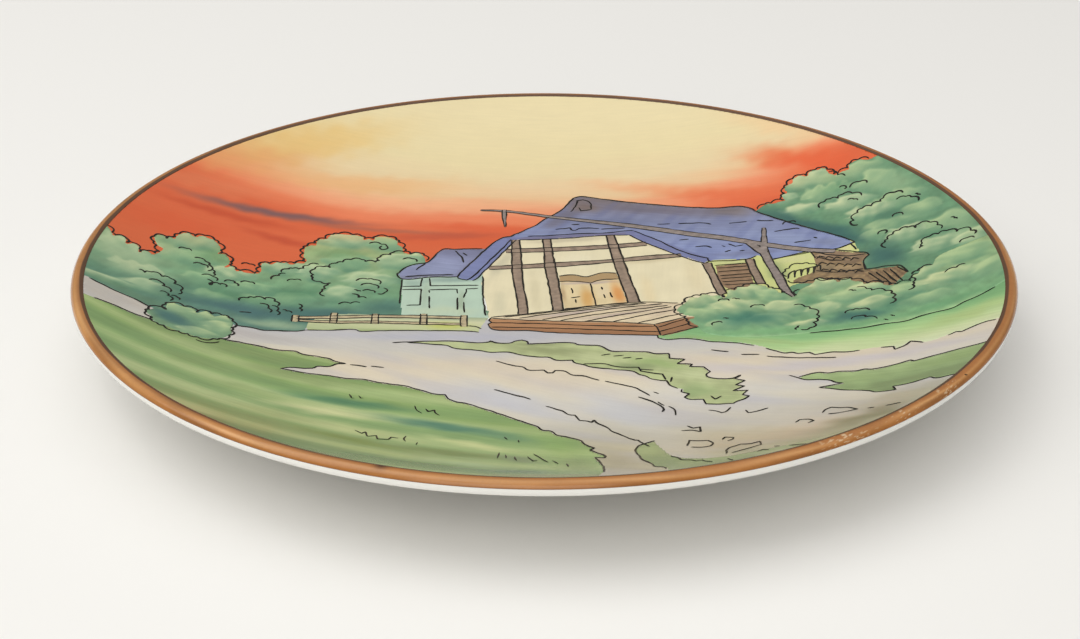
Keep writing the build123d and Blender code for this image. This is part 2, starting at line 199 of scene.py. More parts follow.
def nearestOn(loop, p):
    # the nearest point of a closed loop to each of the points p
    a, b = loop, np.roll(loop, -1, axis=0)
    d = b - a
    best, gap = p.copy(), np.full(len(p), 1e9)
    for part in np.array_split(np.arange(len(a)), max(1, len(a) * len(p) // 400000)):
        t = ((p[:, None] - a[part]) * d[part]).sum(-1) / ((d[part] ** 2).sum(-1) + 1e-12)
        spot = a[part] + np.clip(t, 0, 1)[..., None] * d[part]
        away = np.linalg.norm(p[:, None] - spot, axis=-1)
        k = away.argmin(1)
        near = away[np.arange(len(p)), k]
        closer = near < gap
        best[closer], gap[closer] = spot[np.arange(len(p)), k][closer], near[closer]
    return best, gap


paintedRadius = rimRadius - 2.9  # the fields end under the brown band
shell = dict(under=0.06, rimLift=0.4, reach=1.2, pull=0.96)  # under in mm, reach in grid cells
firing = dict(richer=1.1, brighter=1.0)  # the kiln deepens every wash a little


def paintField(name, node, field, material):
    # one enamel field as a thin closed shell: a square grid over its outline, kept where a cell's
    # middle is inside, its rim drawn onto the outline, and the whole laid on the plate's face
    pitch = field["pitch"]
    loop = curveThrough(field["outline"], pitch * 0.8, closed=True, corner=field.get("corner", 50))
    low = np.maximum(loop.min(0), -paintedRadius - pitch) - pitch
    high = np.minimum(loop.max(0), paintedRadius + pitch) + pitch
    vx, vy = (np.arange(low[k], high[k] + pitch, pitch) for k in (0, 1))
    cx, cy = (vx[1:] + vx[:-1]) / 2, (vy[1:] + vy[:-1]) / 2
    kept = insideGrid(loop, cx, cy) & (cx ** 2 + cy[:, None] ** 2 < (paintedRadius + 0.3 * pitch) ** 2)
    wide = np.pad(kept, 1)
    touching = wide[:-1, :-1].astype(int) + wide[1:, :-1] + wide[:-1, 1:] + wide[1:, 1:]
    used = touching > 0
    label = np.cumsum(used.ravel()).reshape(used.shape) - 1
    gx, gy = np.meshgrid(vx, vy)
    flat = np.stack([gx[used], gy[used]], 1)
    rim = touching[used] < 4
    spot, gap = nearestOn(loop, flat[rim])
    move = np.where((gap < shell["reach"] * pitch)[:, None], (spot - flat[rim]) * shell["pull"], 0)
    flat[rim] += move
    r = np.linalg.norm(flat, axis=1)
    flat *= np.minimum(1, paintedRadius / np.maximum(r, 1e-6))[:, None]
    x, y = flat.T
    z = faceHeight(np.hypot(x, y))
    lift = np.where(rim, shell["rimLift"], 1) * field["lift"]
    points = np.vstack([np.column_stack([x, y, z + lift]), np.column_stack([x, y, z - shell["under"]])])
    row, col = np.nonzero(kept)
    a, b, c, d = label[row, col], label[row, col + 1], label[row + 1, col + 1], label[row + 1, col]
    n = len(x)
    faces = [np.stack([a, b, c, d], 1), np.stack([d, c, b, a], 1) + n]
    outside = [(~wide[:-2, 1:-1][row, col], a, b), (~wide[1:-1, 2:][row, col], b, c),
               (~wide[2:, 1:-1][row, col], c, d), (~wide[1:-1, :-2][row, col], d, a)]
    for bare, start, end in outside:
        s, e = start[bare], end[bare]
        faces.append(np.stack([s, s + n, e + n, e], 1))
    colour = field["paint"](x, y)
    grey = colour.mean(1, keepdims=True)
    colour = np.clip((grey + (colour - grey) * firing["richer"]) * firing["brighter"], 0, 255)
    return addPiece(name, points, faces, node, material, np.vstack([colour, colour]))


def strokePiece(name, node, strokes, style, material):
    # drawn lines as domed ribbons: six points round each section, carried along each smooth path;
    # the width swells and thins like a brush's, and narrows to the ends
    allPoints, allFaces, allColours, base = [], [], [], 0
    dome = np.array([(-1, 0.1), (-0.62, 0.8), (0.0, 1.0), (0.62, 0.8), (1, 0.1), (0.0, -0.6)])
    for number, stroke in enumerate(strokes):
        pts = np.asarray(stroke, float)
        line = curveThrough(pts[:, :2], style["spacing"], corner=style.get("corner", 62))
        step = np.diff(line, axis=0)
        s = np.concatenate([[0], np.cumsum(np.linalg.norm(step, axis=1))])
        total = s[-1]
        ahead = np.gradient(line, axis=0)
        ahead /= np.linalg.norm(ahead, axis=1, keepdims=True) + 1e-9
        side = np.stack([-ahead[:, 1], ahead[:, 0]], 1)
        seed = style["seed"] + number
        line = line + side * softNoise(s, s * 0, 4.5, seed)[:, None] * style["wander"]
        if pts.shape[1] == 3:
            along = np.linspace(0, total, len(pts))
            width = np.interp(s, along, pts[:, 2])
        else:
            width = np.full(len(s), style["width"])
        width = width * (1 + style["swell"] * softNoise(s, s * 0, 7, seed + 500))
        tip = np.minimum(s, total - s) / (style["tip"] + 1e-9)
        half = width / 2 * np.clip(style["tipWidth"] + tip, 0, 1)
        across = line[:, None] + side[:, None] * (dome[:, 0] * half[:, None])[..., None]
        z = faceHeight(np.hypot(across[..., 0], across[..., 1]))
        z = z + style["lift"] + style["height"] * dome[:, 1] * np.clip(half / half.max(), 0.3, 1)[:, None]
        rings = np.concatenate([across, z[..., None]], -1)
        rows, k = len(line), len(dome)
        i, j = np.arange(rows - 1)[:, None], np.arange(k)[None]
        nxt = (j + 1) % k
        quads = np.stack([i * k + j, i * k + nxt, (i + 1) * k + nxt, (i + 1) * k + j], -1).reshape(-1, 4)
        ends = np.array([[0, 5, 4, 1], [1, 4, 3, 2], [0, 1, 4, 5], [1, 2, 3, 4]])
        ends[2:] += (rows - 1) * k
        allFaces.append(np.vstack([quads, ends]) + base)
        allPoints.append(rings.reshape(-1, 3))
        if "paint" in style:
            allColours.append(style["paint"](rings[..., 0].ravel(), rings[..., 1].ravel()))
        base += rows * k
    colour = np.clip(np.vstack(allColours), 0, 255) if allColours else None
    return addPiece(name, np.vstack(allPoints), [np.vstack(allFaces)[:, ::-1]], node, material, colour)


# painting with the brush: colours are sRGB, 0 to 255

def flat(x, colour):
    # one colour for every point
    return np.tile(np.array(colour, float), (len(x), 1))


def ramp(t, stops):
    # colours joined in a straight line between stops (place, colour)
    places = [s[0] for s in stops]
    return np.stack([np.interp(t, places, [s[1][k] for s in stops]) for k in range(3)], 1)


def mixIn(colour, tint, amount):
    # the colour moves towards tint by amount, 0 to 1
    return colour + (np.asarray(tint, float) - colour) * np.clip(amount, 0, 1)[:, None]


def dabs(colour, x, y, marks, seed=1):
    # each dab is (x, y, half length, half width, angle, colour, strength): an oval of wash that
    # thins out from its middle, its edge wandering with the brush
    wander = softNoise(x, y, 9, seed)
    for cx, cy, length, width, angle, tint, strength in marks:
        a = radians(angle)
        u = (x - cx) * cos(a) + (y - cy) * sin(a)
        v = (y - cy) * cos(a) - (x - cx) * sin(a)
        far = (u / length) ** 2 + (v / width + 0.22 * wander) ** 2
        colour = mixIn(colour, tint, strength * np.exp(-1.1 * far ** 1.35))
    return colour


def leafClumps(colour, x, y, clumps, seed=5):
    # each clump is (x, y, half width, half height, crown colour, foot colour): a cloud of wash
    # that is light at its upper left, darkens to its foot and is crispest along its top
    for number, (cx, cy, rx, ry, crown, foot) in enumerate(clumps):
        wander = softNoise(x, y, 5.5, seed + number)
        u, v = (x - cx) / rx, (y - cy) / ry
        far = np.hypot(u, v) + 0.16 * wander
        lit = np.clip(0.5 + 0.5 * v - 0.2 * u + 0.15 * wander, 0, 1)
        tint = ramp(lit, [(0, foot), (0.5, [0.4 * a + 0.6 * b for a, b in zip(crown, foot)]), (1, crown)])
        edge = np.clip((1.12 - far) / np.where(v > 0, 0.3, 0.75), 0, 1)
        colour = colour + (tint - colour) * (edge * edge * (3 - 2 * edge) * 0.85)[:, None]
    return colour


def dappled(colour, x, y, size, strength, seed):
    # small uneven touches of lighter and darker pigment
    touch = softNoise(x, y, size, seed) * 0.6 + softNoise(x, y, size * 0.45, seed + 1) * 0.4
    return colour * (1 + strength * touch)[:, None]


# finishes

def nodeSockets(group, wanted):
    # the group's inputs and outputs: name, way, kind and starting value
    for name, way, kind, value in wanted:
        socket = group.interface.new_socket(name=name, in_out=way, socket_type=kind)
        if value is not None:
            socket.default_value = value


def buildPigmentGroup():
    # overglaze pigment: fine granulation, slow mottling and long streaks left by the brush
    group = bpy.data.node_groups.new("pigment", "ShaderNodeTree")
    nodeSockets(group, [("Colour", "INPUT", "NodeSocketColor", (1, 1, 1, 1)),
                        ("Grain", "INPUT", "NodeSocketFloat", 0.06),
                        ("Mottle", "INPUT", "NodeSocketFloat", 0.08),
                        ("Streaks", "INPUT", "NodeSocketFloat", 0.1),
                        ("Streak Turn", "INPUT", "NodeSocketVector", (0, 0, 0)),
                        ("Gloss", "INPUT", "NodeSocketFloat", 0.2),
                        ("Colour", "OUTPUT", "NodeSocketColor", None),
                        ("Roughness", "OUTPUT", "NodeSocketFloat", None),
                        ("Height", "OUTPUT", "NodeSocketFloat", None)])
    nodes, links = group.nodes, group.links
    enter, leave = nodes.new("NodeGroupInput"), nodes.new("NodeGroupOutput")
    place = nodes.new("ShaderNodeTexCoord")

    def noise(scale, detail, source):
        made = nodes.new("ShaderNodeTexNoise")
        made.inputs["Scale"].default_value = scale
        made.inputs["Detail"].default_value = detail
        links.new(source, made.inputs["Vector"])
        return made.outputs["Fac"]

    def maths(kind, first, second):
        made = nodes.new("ShaderNodeMath")
        made.operation = kind
        for k, value in enumerate((first, second)):
            if isinstance(value, (int, float)):
                made.inputs[k].default_value = value
            else:
                links.new(value, made.inputs[k])
        return made.outputs[0]

    turn = nodes.new("ShaderNodeMapping")
    links.new(place.outputs["Object"], turn.inputs["Vector"])
    links.new(enter.outputs["Streak Turn"], turn.inputs["Rotation"])
    stretch = nodes.new("ShaderNodeMapping")
    stretch.inputs["Scale"].default_value = (1, 11, 1)
    links.new(turn.outputs[0], stretch.inputs["Vector"])
    grain = noise(1500, 3, place.outputs["Object"])
    mottle = noise(130, 4, place.outputs["Object"])
    streak = noise(95, 5, stretch.outputs[0])
    total = 1.0
    for fac, amount in ((grain, "Grain"), (mottle, "Mottle"), (streak, "Streaks")):
        centred = maths("SUBTRACT", fac, 0.5)
        total = maths("ADD", maths("MULTIPLY", centred, maths("MULTIPLY", enter.outputs[amount], 2)), total)
    tone = nodes.new("ShaderNodeVectorMath")
    tone.operation = "SCALE"
    links.new(enter.outputs["Colour"], tone.inputs[0])
    links.new(total, tone.inputs["Scale"])
    links.new(tone.outputs[0], leave.inputs["Colour"])
    uneven = maths("MULTIPLY", maths("SUBTRACT", mottle, 0.5), 0.12)
    links.new(maths("ADD", enter.outputs["Gloss"], uneven), leave.inputs["Roughness"])
    links.new(maths("ADD", maths("MULTIPLY", grain, 0.25), streak), leave.inputs["Height"])
    return group


pigment = buildPigmentGroup()


def enamelFinish(name, look):
    # fired enamel: the painted wash, worked on by the pigment group, under its own gloss
    material = bpy.data.materials.new(name)
    material.use_nodes = True
    nodes, links = material.node_tree.nodes, material.node_tree.links
    surface = nodes["Principled BSDF"]
    wash = nodes.new("ShaderNodeAttribute")
    wash.attribute_name = "wash"
    worked = nodes.new("ShaderNodeGroup")
    worked.node_tree = pigment
    for key in ("Grain", "Mottle", "Streaks", "Gloss"):
        worked.inputs[key].default_value = look[key.lower()]
    worked.inputs["Streak Turn"].default_value = (0, 0, radians(-look.get("angle", 0)))
    links.new(wash.outputs["Color"], worked.inputs["Colour"])
    links.new(worked.outputs["Colour"], surface.inputs["Base Color"])
    links.new(worked.outputs["Roughness"], surface.inputs["Roughness"])
    bump = nodes.new("ShaderNodeBump")
    bump.inputs["Strength"].default_value = look.get("bump", 0.12)
    bump.inputs["Distance"].default_value = 0.00012
    links.new(worked.outputs["Height"], bump.inputs["Height"])
    links.new(bump.outputs[0], surface.inputs["Normal"])
    surface.inputs["Specular IOR Level"].default_value = look.get("shine", 0.4)
    surface.inputs["IOR"].default_value = 1.5
    return material


skyFinish = enamelFinish("skyEnamel", dict(grain=0.02, mottle=0.03, streaks=0.05, gloss=0.16, bump=0.05))
groundFinish = enamelFinish("groundEnamel",
                            dict(grain=0.03, mottle=0.05, streaks=0.06, gloss=0.17, bump=0.06, angle=-25))
leafFinish = enamelFinish("leafEnamel",
                          dict(grain=0.05, mottle=0.12, streaks=0.05, gloss=0.18, bump=0.12, angle=60))
lawnFinish = enamelFinish("lawnEnamel",
                          dict(grain=0.03, mottle=0.06, streaks=0.16, gloss=0.17, bump=0.1, angle=-18))
wallFinish = enamelFinish("wallEnamel",
                          dict(grain=0.02, mottle=0.04, streaks=0.05, gloss=0.17, bump=0.05, angle=85))
thatchFinish = enamelFinish("thatchEnamel",
                            dict(grain=0.04, mottle=0.1, streaks=0.2, gloss=0.2, bump=0.16, angle=-12))
woodFinish = enamelFinish("woodEnamel",
                          dict(grain=0.05, mottle=0.14, streaks=0.2, gloss=0.2, bump=0.14, angle=4))
bandFinish = enamelFinish("bandEnamel", dict(grain=0.08, mottle=0.16, streaks=0.05, gloss=0.16, bump=0.1))
inkFinish = enamelFinish("inkEnamel",
                         dict(grain=0.1, mottle=0.15, streaks=0.05, gloss=0.24, bump=0.1, shine=0.25))


def bareFinish(name, look):
    # glaze or bare clay of one colour, with slow unevenness, fine pits and a trace of iron specks
    material = bpy.data.materials.new(name)
    material.use_nodes = True
    nodes, links = material.node_tree.nodes, material.node_tree.links
    surface = nodes["Principled BSDF"]
    place = nodes.new("ShaderNodeTexCoord")
    slow = nodes.new("ShaderNodeTexNoise")
    slow.inputs["Scale"].default_value = look["patch"]
    links.new(place.outputs["Object"], slow.inputs["Vector"])
    fine = nodes.new("ShaderNodeTexNoise")
    fine.inputs["Scale"].default_value = look["pit"]
    fine.inputs["Detail"].default_value = 4
    links.new(place.outputs["Object"], fine.inputs["Vector"])
    tone = nodes.new("ShaderNodeMix")
    tone.data_type = "RGBA"
    tone.inputs["A"].default_value = (*look["dark"], 1)
    tone.inputs["B"].default_value = (*look["light"], 1)
    links.new(slow.outputs["Fac"], tone.inputs["Factor"])
    specks = nodes.new("ShaderNodeTexVoronoi")
    specks.inputs["Scale"].default_value = look["speckScale"]
    links.new(place.outputs["Object"], specks.inputs["Vector"])
    dot = nodes.new("ShaderNodeMapRange")
    dot.inputs["From Min"].default_value = look["speckSize"]
    dot.inputs["From Max"].default_value = look["speckSize"] * 1.6
    dot.inputs["To Min"].default_value = look["speckStrength"]
    dot.inputs["To Max"].default_value = 0
    links.new(specks.outputs["Distance"], dot.inputs["Value"])
    spotted = nodes.new("ShaderNodeMix")
    spotted.data_type = "RGBA"
    spotted.inputs["B"].default_value = (0.25, 0.16, 0.09, 1)
    links.new(dot.outputs[0], spotted.inputs["Factor"])
    links.new(tone.outputs["Result"], spotted.inputs["A"])
    links.new(spotted.outputs["Result"], surface.inputs["Base Color"])
    bump = nodes.new("ShaderNodeBump")
    bump.inputs["Strength"].default_value = look["bump"]
    bump.inputs["Distance"].default_value = 0.0002
    links.new(fine.outputs["Fac"], bump.inputs["Height"])
    links.new(bump.outputs[0], surface.inputs["Normal"])
    surface.inputs["Roughness"].default_value = look["rough"]
    return material


glazeFinish = bareFinish("clearGlaze",
                         dict(light=(0.87, 0.86, 0.82), dark=(0.83, 0.82, 0.77), patch=22, pit=420,
                              bump=0.05, rough=0.12, speckScale=160, speckSize=0.035, speckStrength=0.35))
clayFinish = bareFinish("bisqueClay",
                        dict(light=(0.80, 0.76, 0.69), dark=(0.72, 0.67, 0.58), patch=60, pit=1800,
                             bump=0.5, rough=0.85, speckScale=420, speckSize=0.06, speckStrength=0.5))
print("finishes ready")

# the turned pieces: body, foot and glaze
glazeDepth, backDepth = plateShape["glaze"], plateShape["wall"]
bodyBack = backDepth - glazeDepth
faceSide, backSide = pi / 2 + lipSlope, lipSlope - pi / 2
wellStep = sin(wellSlope)


def faceLine(depth, count):
    # from the axis out along the face to the lip
    return np.vstack([wellArc(depth, 0, (plateShape["wellCurve"] + depth) * wellStep, count)[:-1],
                      wallArc(depth, wellSlope, lipSlope, count * 2)[:-1]])


def backLine(depth, rEnd, count):
    # from the lip in along the back to a distance from the axis
    return np.vstack([wallArc(depth, lipSlope, wellSlope, count * 2)[:-1],
                      wellArc(depth, (plateShape["wellCurve"] + depth) * wellStep, rEnd, count)])


bodyLoop = np.vstack([faceLine(glazeDepth, 10), lipArc(lipRadius - glazeDepth, faceSide, backSide, 12)[:-1],
                      backLine(bodyBack, 0, 10)])
turned("clayBody", bodyLoop[::-1], 256, "plate_body", clayFinish)

outside = [faceLine(0, 22), lipArc(lipRadius, faceSide, backSide, 20)[:-1],
           backLine(backDepth, plateShape["footOuter"], 14)]
inside = [backLine(bodyBack, plateShape["footOuter"], 5)[::-1],
          lipArc(lipRadius - glazeDepth, backSide, faceSide, 8)[1:-1], faceLine(glazeDepth, 5)[::-1]]
glazeLoop = np.vstack(outside + inside)
turned("glazeCoat", glazeLoop[::-1], 400, "dipped_glaze", glazeFinish)

wellUnder = np.vstack([wellArc(bodyBack, 0, plateShape["footInner"], 8),
                       wellArc(backDepth, plateShape["footInner"], 0, 24)])
turned("footWellGlaze", wellUnder[::-1], 256, "foot_well_glaze", glazeFinish)

# the foot's section: a bare land between two bevels, with fine turning ridges on its sides
footMiddle = (plateShape["footOuter"] + plateShape["footInner"]) / 2
landHalf = plateShape["footLand"] / 2
jointLine = wellArc(bodyBack, plateShape["footInner"], plateShape["footOuter"], 6)
sideHeights = np.linspace(0.97, 0, 12)[:, None]
ridge = np.abs(0.05 * np.sin(sideHeights * 26) * np.sin(sideHeights * pi))


def footSide(radius, top, way):
    # one side of the foot, from its top down to the bevel, with the ridges cut into it
    z = plateShape["footBevel"] + sideHeights * (top - plateShape["footBevel"])
    return np.hstack([radius + way * ridge, z])


outerSide = footSide(plateShape["footOuter"], jointLine[-1, 1], -1)
innerSide = footSide(plateShape["footInner"], jointLine[0, 1], 1)
land = np.array([(footMiddle + landHalf + 0.5, 0.28), (footMiddle + landHalf, 0.05),
                 (footMiddle + landHalf - 0.3, 0), (footMiddle - landHalf + 0.3, 0),
                 (footMiddle - landHalf, 0.05), (footMiddle - landHalf - 0.5, 0.28)])
footLoop = np.vstack([jointLine, outerSide, land, innerSide[::-1]])
turned("footRing", footLoop[::-1], 320, "foot_ring", clayFinish)
print("body, foot and glaze turned")

# the brown band: a dark line inside, amber outside, worn through on the front right
bandLook = dict(inner=126.6, lineWidth=1.1, thick=0.16, outerAngle=15, dark=(92, 62, 40),
                amber=(164, 106, 54), worn=(218, 196, 164))


def bandPaint(x, y, z):
    # amber, with a painted highlight along the top of the lip, dark at both edges, with chips where it is
    # handled: each place is its middle and spread round the rim in degrees, and its amount
    r, turn = np.hypot(x, y), np.degrees(np.arctan2(y, x))
    brush = softNoise(turn, r * 8, 26, 70)
    amber = flat(x, bandLook["amber"])
    amber = mixIn(amber, (196, 148, 96), 0.3 * np.clip((np.abs(turn) - 120) / 40, 0, 1))
    amber = mixIn(amber, (126, 84, 48), 0.5 * np.clip(brush, 0, 1))
    lipHighlight = np.exp(-((r - 129 + 0.3 * brush) / 0.6) ** 2) * (0.75 + 0.4 * softNoise(turn, r * 0, 12, 74))
    amber = mixIn(amber, (228, 180, 122), 0.5 * lipHighlight)  # painted highlight: a light streak along the top of the lip
    lineEdge = bandLook["inner"] + bandLook["lineWidth"] + 0.1 * softNoise(turn, r * 0, 8, 71)
    isLine = np.clip((lineEdge - r) / 0.25, 0, 1)
    colour = mixIn(amber, bandLook["dark"], isLine)
    lowEdge = np.clip((lipZ + 1.0 - z) / 0.5, 0, 1) * (r > lipX)
    colour = mixIn(colour, (120, 78, 42), 0.6 * lowEdge)
    for middle, spread, amount in ((-57.5, 4, 0.6), (-41.5, 2.2, 0.7), (-49, 2.5, 0.2)):
        near = np.exp(-((turn - middle) / spread) ** 2)
        chips = softNoise(turn * 2.2, z * 5 + r, 1.7, 72) + 0.6 * softNoise(turn * 6, z * 9, 1.5, 73)
        outerSide = np.clip((r - lipX + 0.6) / 0.8, 0, 1)
        worn = np.clip((chips - 1.25 + near * amount * 1.3) * 3, 0, 0.8) * near * outerSide
        colour = mixIn(colour, bandLook["worn"], worn)
    blot = np.exp(-((turn + 106.4) / 0.7) ** 2 - ((r - 127.6) / 1.2) ** 2)
    return np.clip(mixIn(colour, (60, 38, 24), 0.8 * blot), 0, 255)


bandStart = asin((bandLook["inner"] - wallX) / wallCurve)
overLine = np.vstack([wallArc(-bandLook["thick"], bandStart, lipSlope, 8)[:-1],
                      lipArc(lipRadius + bandLook["thick"], faceSide, radians(bandLook["outerAngle"]), 26)])
overLine[0] = wallArc(-0.03, bandStart, lipSlope, 2)[0]
overLine[-1] = lipArc(lipRadius + 0.03, radians(bandLook["outerAngle"]), 0, 2)[0]
underLine = np.vstack([lipArc(lipRadius - 0.08, radians(bandLook["outerAngle"]), faceSide, 6),
                       wallArc(0.08, lipSlope, bandStart, 3)[1:]])
turned("rimBand", np.vstack([overLine, underLine])[::-1], 1500, "rim_band", bandFinish, bandPaint)
print("rim band painted")

# the painted picture, field by field, from the farthest to the nearest


def rimArc(start, end, count=60):
    # points just outside the painted disc, between two turns in degrees
    a = np.radians(np.linspace(start, end, count))
    return [tuple(p) for p in np.stack([rimRadius * np.cos(a), rimRadius * np.sin(a)], 1)]


def skyPaint(x, y):
    # bands of wash that sag towards both sides: cream above, apricot, then deep orange at the roofs
    drop = np.where(x > 0, 0.0039, 0.0013) * x ** 2 * np.clip((122 - y) / 42, 0, 1)
    t = y - drop + 2.2 * softNoise(x * 0.35, y, 26, 11) + 1.2 * softNoise(x * 0.3, y, 9, 12)
    colour = ramp(t, [(5, (206, 102, 62)), (32, (210, 102, 62)), (40, (207, 96, 56)), (50, (222, 122, 82)),
                      (58, (229, 150, 112)), (67, (228, 190, 148)), (77, (226, 206, 166)),
                      (94, (226, 211, 168)), (115, (227, 213, 172))])
    return dabs(colour, x, y, [
        (-80, 88, 34, 9, 30, (223, 186, 116), 0.75), (-95, 74, 22, 8, 20, (217, 152, 96), 0.6),
        (-60, 72, 34, 6, 8, (226, 172, 116), 0.6), (-34, 63, 44, 5, 2, (238, 178, 138), 0.65),
        (-22, 54, 26, 4, 2, (232, 142, 104), 0.6), (-105, 55, 22, 5, 4, (214, 132, 92), 0.5),
        (-5, 76, 36, 5, 4, (232, 200, 160), 0.5), (-82, 47.5, 26, 2.2, 1, (112, 84, 88), 0.9),
        (-52, 44.5, 26, 1.6, -3, (166, 98, 76), 0.75), (-96, 41, 20, 2.6, -3, (184, 74, 38), 0.8),
        (-79, 32, 12, 2.4, -16, (178, 70, 38), 0.7), (-30, 42, 18, 2.4, 8, (182, 84, 58), 0.7),
        (-50, 53, 20, 3, 3, (226, 130, 92), 0.5), (-20, 48, 20, 3, -5, (214, 96, 58), 0.6),
        (-108, 28, 18, 7, 8, (206, 92, 52), 0.7), (40, 73, 26, 4, -14, (230, 160, 116), 0.6),
        (60, 66, 22, 5, -12, (216, 100, 58), 0.7), (84, 79, 20, 6, -26, (216, 94, 50), 0.85),
        (98, 89, 12, 3, -36, (230, 134, 90), 0.6), (80, 98, 22, 5, -32, (232, 196, 150), 0.6),
        (-85, 20, 14, 8, 0, (208, 100, 60), 0.5)], 13)


skyLook = dict(pitch=0.8, lift=0.04, paint=skyPaint,
               outline=rimArc(-2, 182) + [(-36, -4), (-33, 18), (60, 18), (70, -4)])
paintField("skyWash", "sky_enamel", skyLook, skyFinish)


def pathPaint(x, y):
    # the road is lilac-grey where it is far, sandy in the middle and greyer again near the rim
    t = y + 3 * softNoise(x * 0.5, y, 30, 21)
    colour = ramp(t, [(-125, (176, 168, 146)), (-100, (190, 182, 158)), (-85, (204, 198, 182)),
                      (-72, (208, 204, 198)), (-62, (214, 210, 203)), (-50, (221, 210, 190)),
                      (-42, (216, 204, 184)), (-34, (204, 200, 192)), (-24, (190, 188, 190))])
    sweep = softNoise(x * 0.25, y + 0.5 * x, 13, 22) * (y < -36)
    colour = mixIn(colour, (226, 216, 190), 0.4 * np.clip(sweep, 0, 1))
    colour = mixIn(colour, (188, 186, 196), 0.4 * np.clip(-sweep, 0, 1))
    return dabs(colour, x, y, [
        (-92, -30, 30, 3, -6, (182, 176, 174), 0.7), (-118, -22, 24, 9, -20, (196, 188, 176), 0.8),
        (-30, -26, 34, 2.6, 2, (182, 182, 194), 0.7), (0, -52, 30, 6, -30, (214, 202, 186), 0.5),
        (-8, -64, 20, 5, -40, (200, 200, 206), 0.6), (20, -72, 16, 6, -55, (206, 206, 208), 0.7),
        (72, -49, 44, 3.4, -6, (202, 196, 202), 0.7), (58, -82, 30, 8, -20, (206, 200, 190), 0.6),
        (50, -98, 26, 9, -10, (186, 174, 150), 0.6), (30, -100, 8, 18, 12, (204, 200, 192), 0.5),
        (88, -84, 16, 6, 10, (178, 172, 148), 0.7), (76, -95, 12, 5, 24, (134, 130, 102), 0.85),
        (62, -108, 26, 5, 18, (160, 158, 128), 0.55), (16, -112, 5, 16, 6, (170, 164, 144), 0.6),
        (44, -58, 8, 5, 0, (220, 212, 190), 0.5), (112, -40, 16, 4, 10, (206, 202, 208), 0.6)], 23)


pathLook = dict(pitch=0.9, lift=0.04, paint=pathPaint, outline=rimArc(-175, -5) + [(128, -14), (-129, -14)])
paintField("pathWash", "path_enamel", pathLook, groundFinish)


def leftVergePaint(x, y):
    # pale grass at the fence's foot, fading up into the hedge's green
    colour = ramp(y, [(-25, (172, 184, 138)), (-21, (192, 198, 154)), (-16, (206, 206, 170)),
                      (-12, (150, 166, 138)), (-9, (110, 142, 118))])
    return dabs(colour, x, y, [
        (-27, -18.5, 6, 2.4, 0, (192, 196, 110), 0.9), (-44, -23, 16, 1.2, 2, (146, 160, 112), 0.6),
        (-60, -22, 8, 1.8, 0, (178, 188, 150), 0.6)], 31)


leftVergeLook = dict(pitch=0.5, lift=0.05, paint=leftVergePaint, outline=[
    (-68, -13), (-40, -8), (-15, -8), (-16, -15), (-17.3, -20), (-17.8, -22.3), (-20.3, -21.8),
    (-31.8, -22), (-44.5, -22.9), (-50.5, -23.8), (-51.5, -23), (-57.8, -24), (-65, -24.8)])
paintField("fenceGround", "left_verge_enamel", leftVergeLook, groundFinish)

leftSkyline = [
    (-129, 15), (-126, 14), (-123.3, 9.8), (-121.8, 11.5), (-120, 11.3), (-119.3, 7.5), (-118, 9.3),
    (-116, 9), (-115.2, 4.8), (-115, 7), (-113, 7.3), (-111.9, 6.3), (-110.8, 8.3), (-110, 11.5),
    (-111.3, 11.8), (-112.5, 13.5), (-113.5, 16.5), (-113.3, 18), (-112, 19.4), (-110.3, 19), (-110, 17.3),
    (-110, 19.5), (-108.8, 20), (-108, 18.8), (-107.8, 21.5), (-106.5, 24), (-104.8, 25.3), (-103.3, 24),
    (-102.5, 23.5), (-102, 24.8), (-100.3, 25.8), (-98.8, 24.8), (-97.5, 24.8), (-96, 23), (-94.8, 20.5),
    (-94.5, 18.5), (-95, 17), (-93.3, 17.8), (-92, 16), (-91, 13), (-91.3, 11), (-92, 9.3), (-90.5, 11),
    (-89.5, 10.5), (-88.6, 8), (-87.5, 9), (-86, 8.3), (-82.8, 8.8), (-82.3, 10), (-82.5, 13),
    (-82.8, 15.5), (-81.5, 16.8), (-79.8, 15.8), (-78.5, 18), (-77, 17.5), (-75.8, 18.5), (-74, 17.3),
    (-72.5, 19), (-71, 18.5), (-70.3, 20.5), (-71.3, 22.8), (-71.5, 26), (-71.8, 28.5), (-71, 30.3),
    (-69.8, 31.5), (-68.5, 31), (-68.6, 33.5), (-68, 35.5), (-65.8, 36.5), (-65, 39), (-63.5, 40),
    (-60.5, 40.3), (-57, 40.3), (-54.8, 39.5), (-54.5, 37.5), (-53, 38.3), (-51.8, 37.5), (-51.5, 39.8),
    (-49.5, 40.3), (-47.8, 40.3), (-46, 39.5), (-44.3, 37.5), (-43.8, 34.8), (-42.5, 33.5), (-42.3, 31.5),
    (-41.8, 30), (-40, 28.5), (-39.5, 30), (-38, 30.1), (-36.5, 29), (-35.5, 27), (-35, 24.5)]
roadTop = [(-65, -24.8), (-67.5, -26), (-72.5, -26.8), (-76, -27.5), (-80, -26.8), (-84, -26.8),
           (-106.8, -26.8), (-110, -25), (-115, -23.5), (-120, -22), (-123.5, -20.8), (-128, -20)]


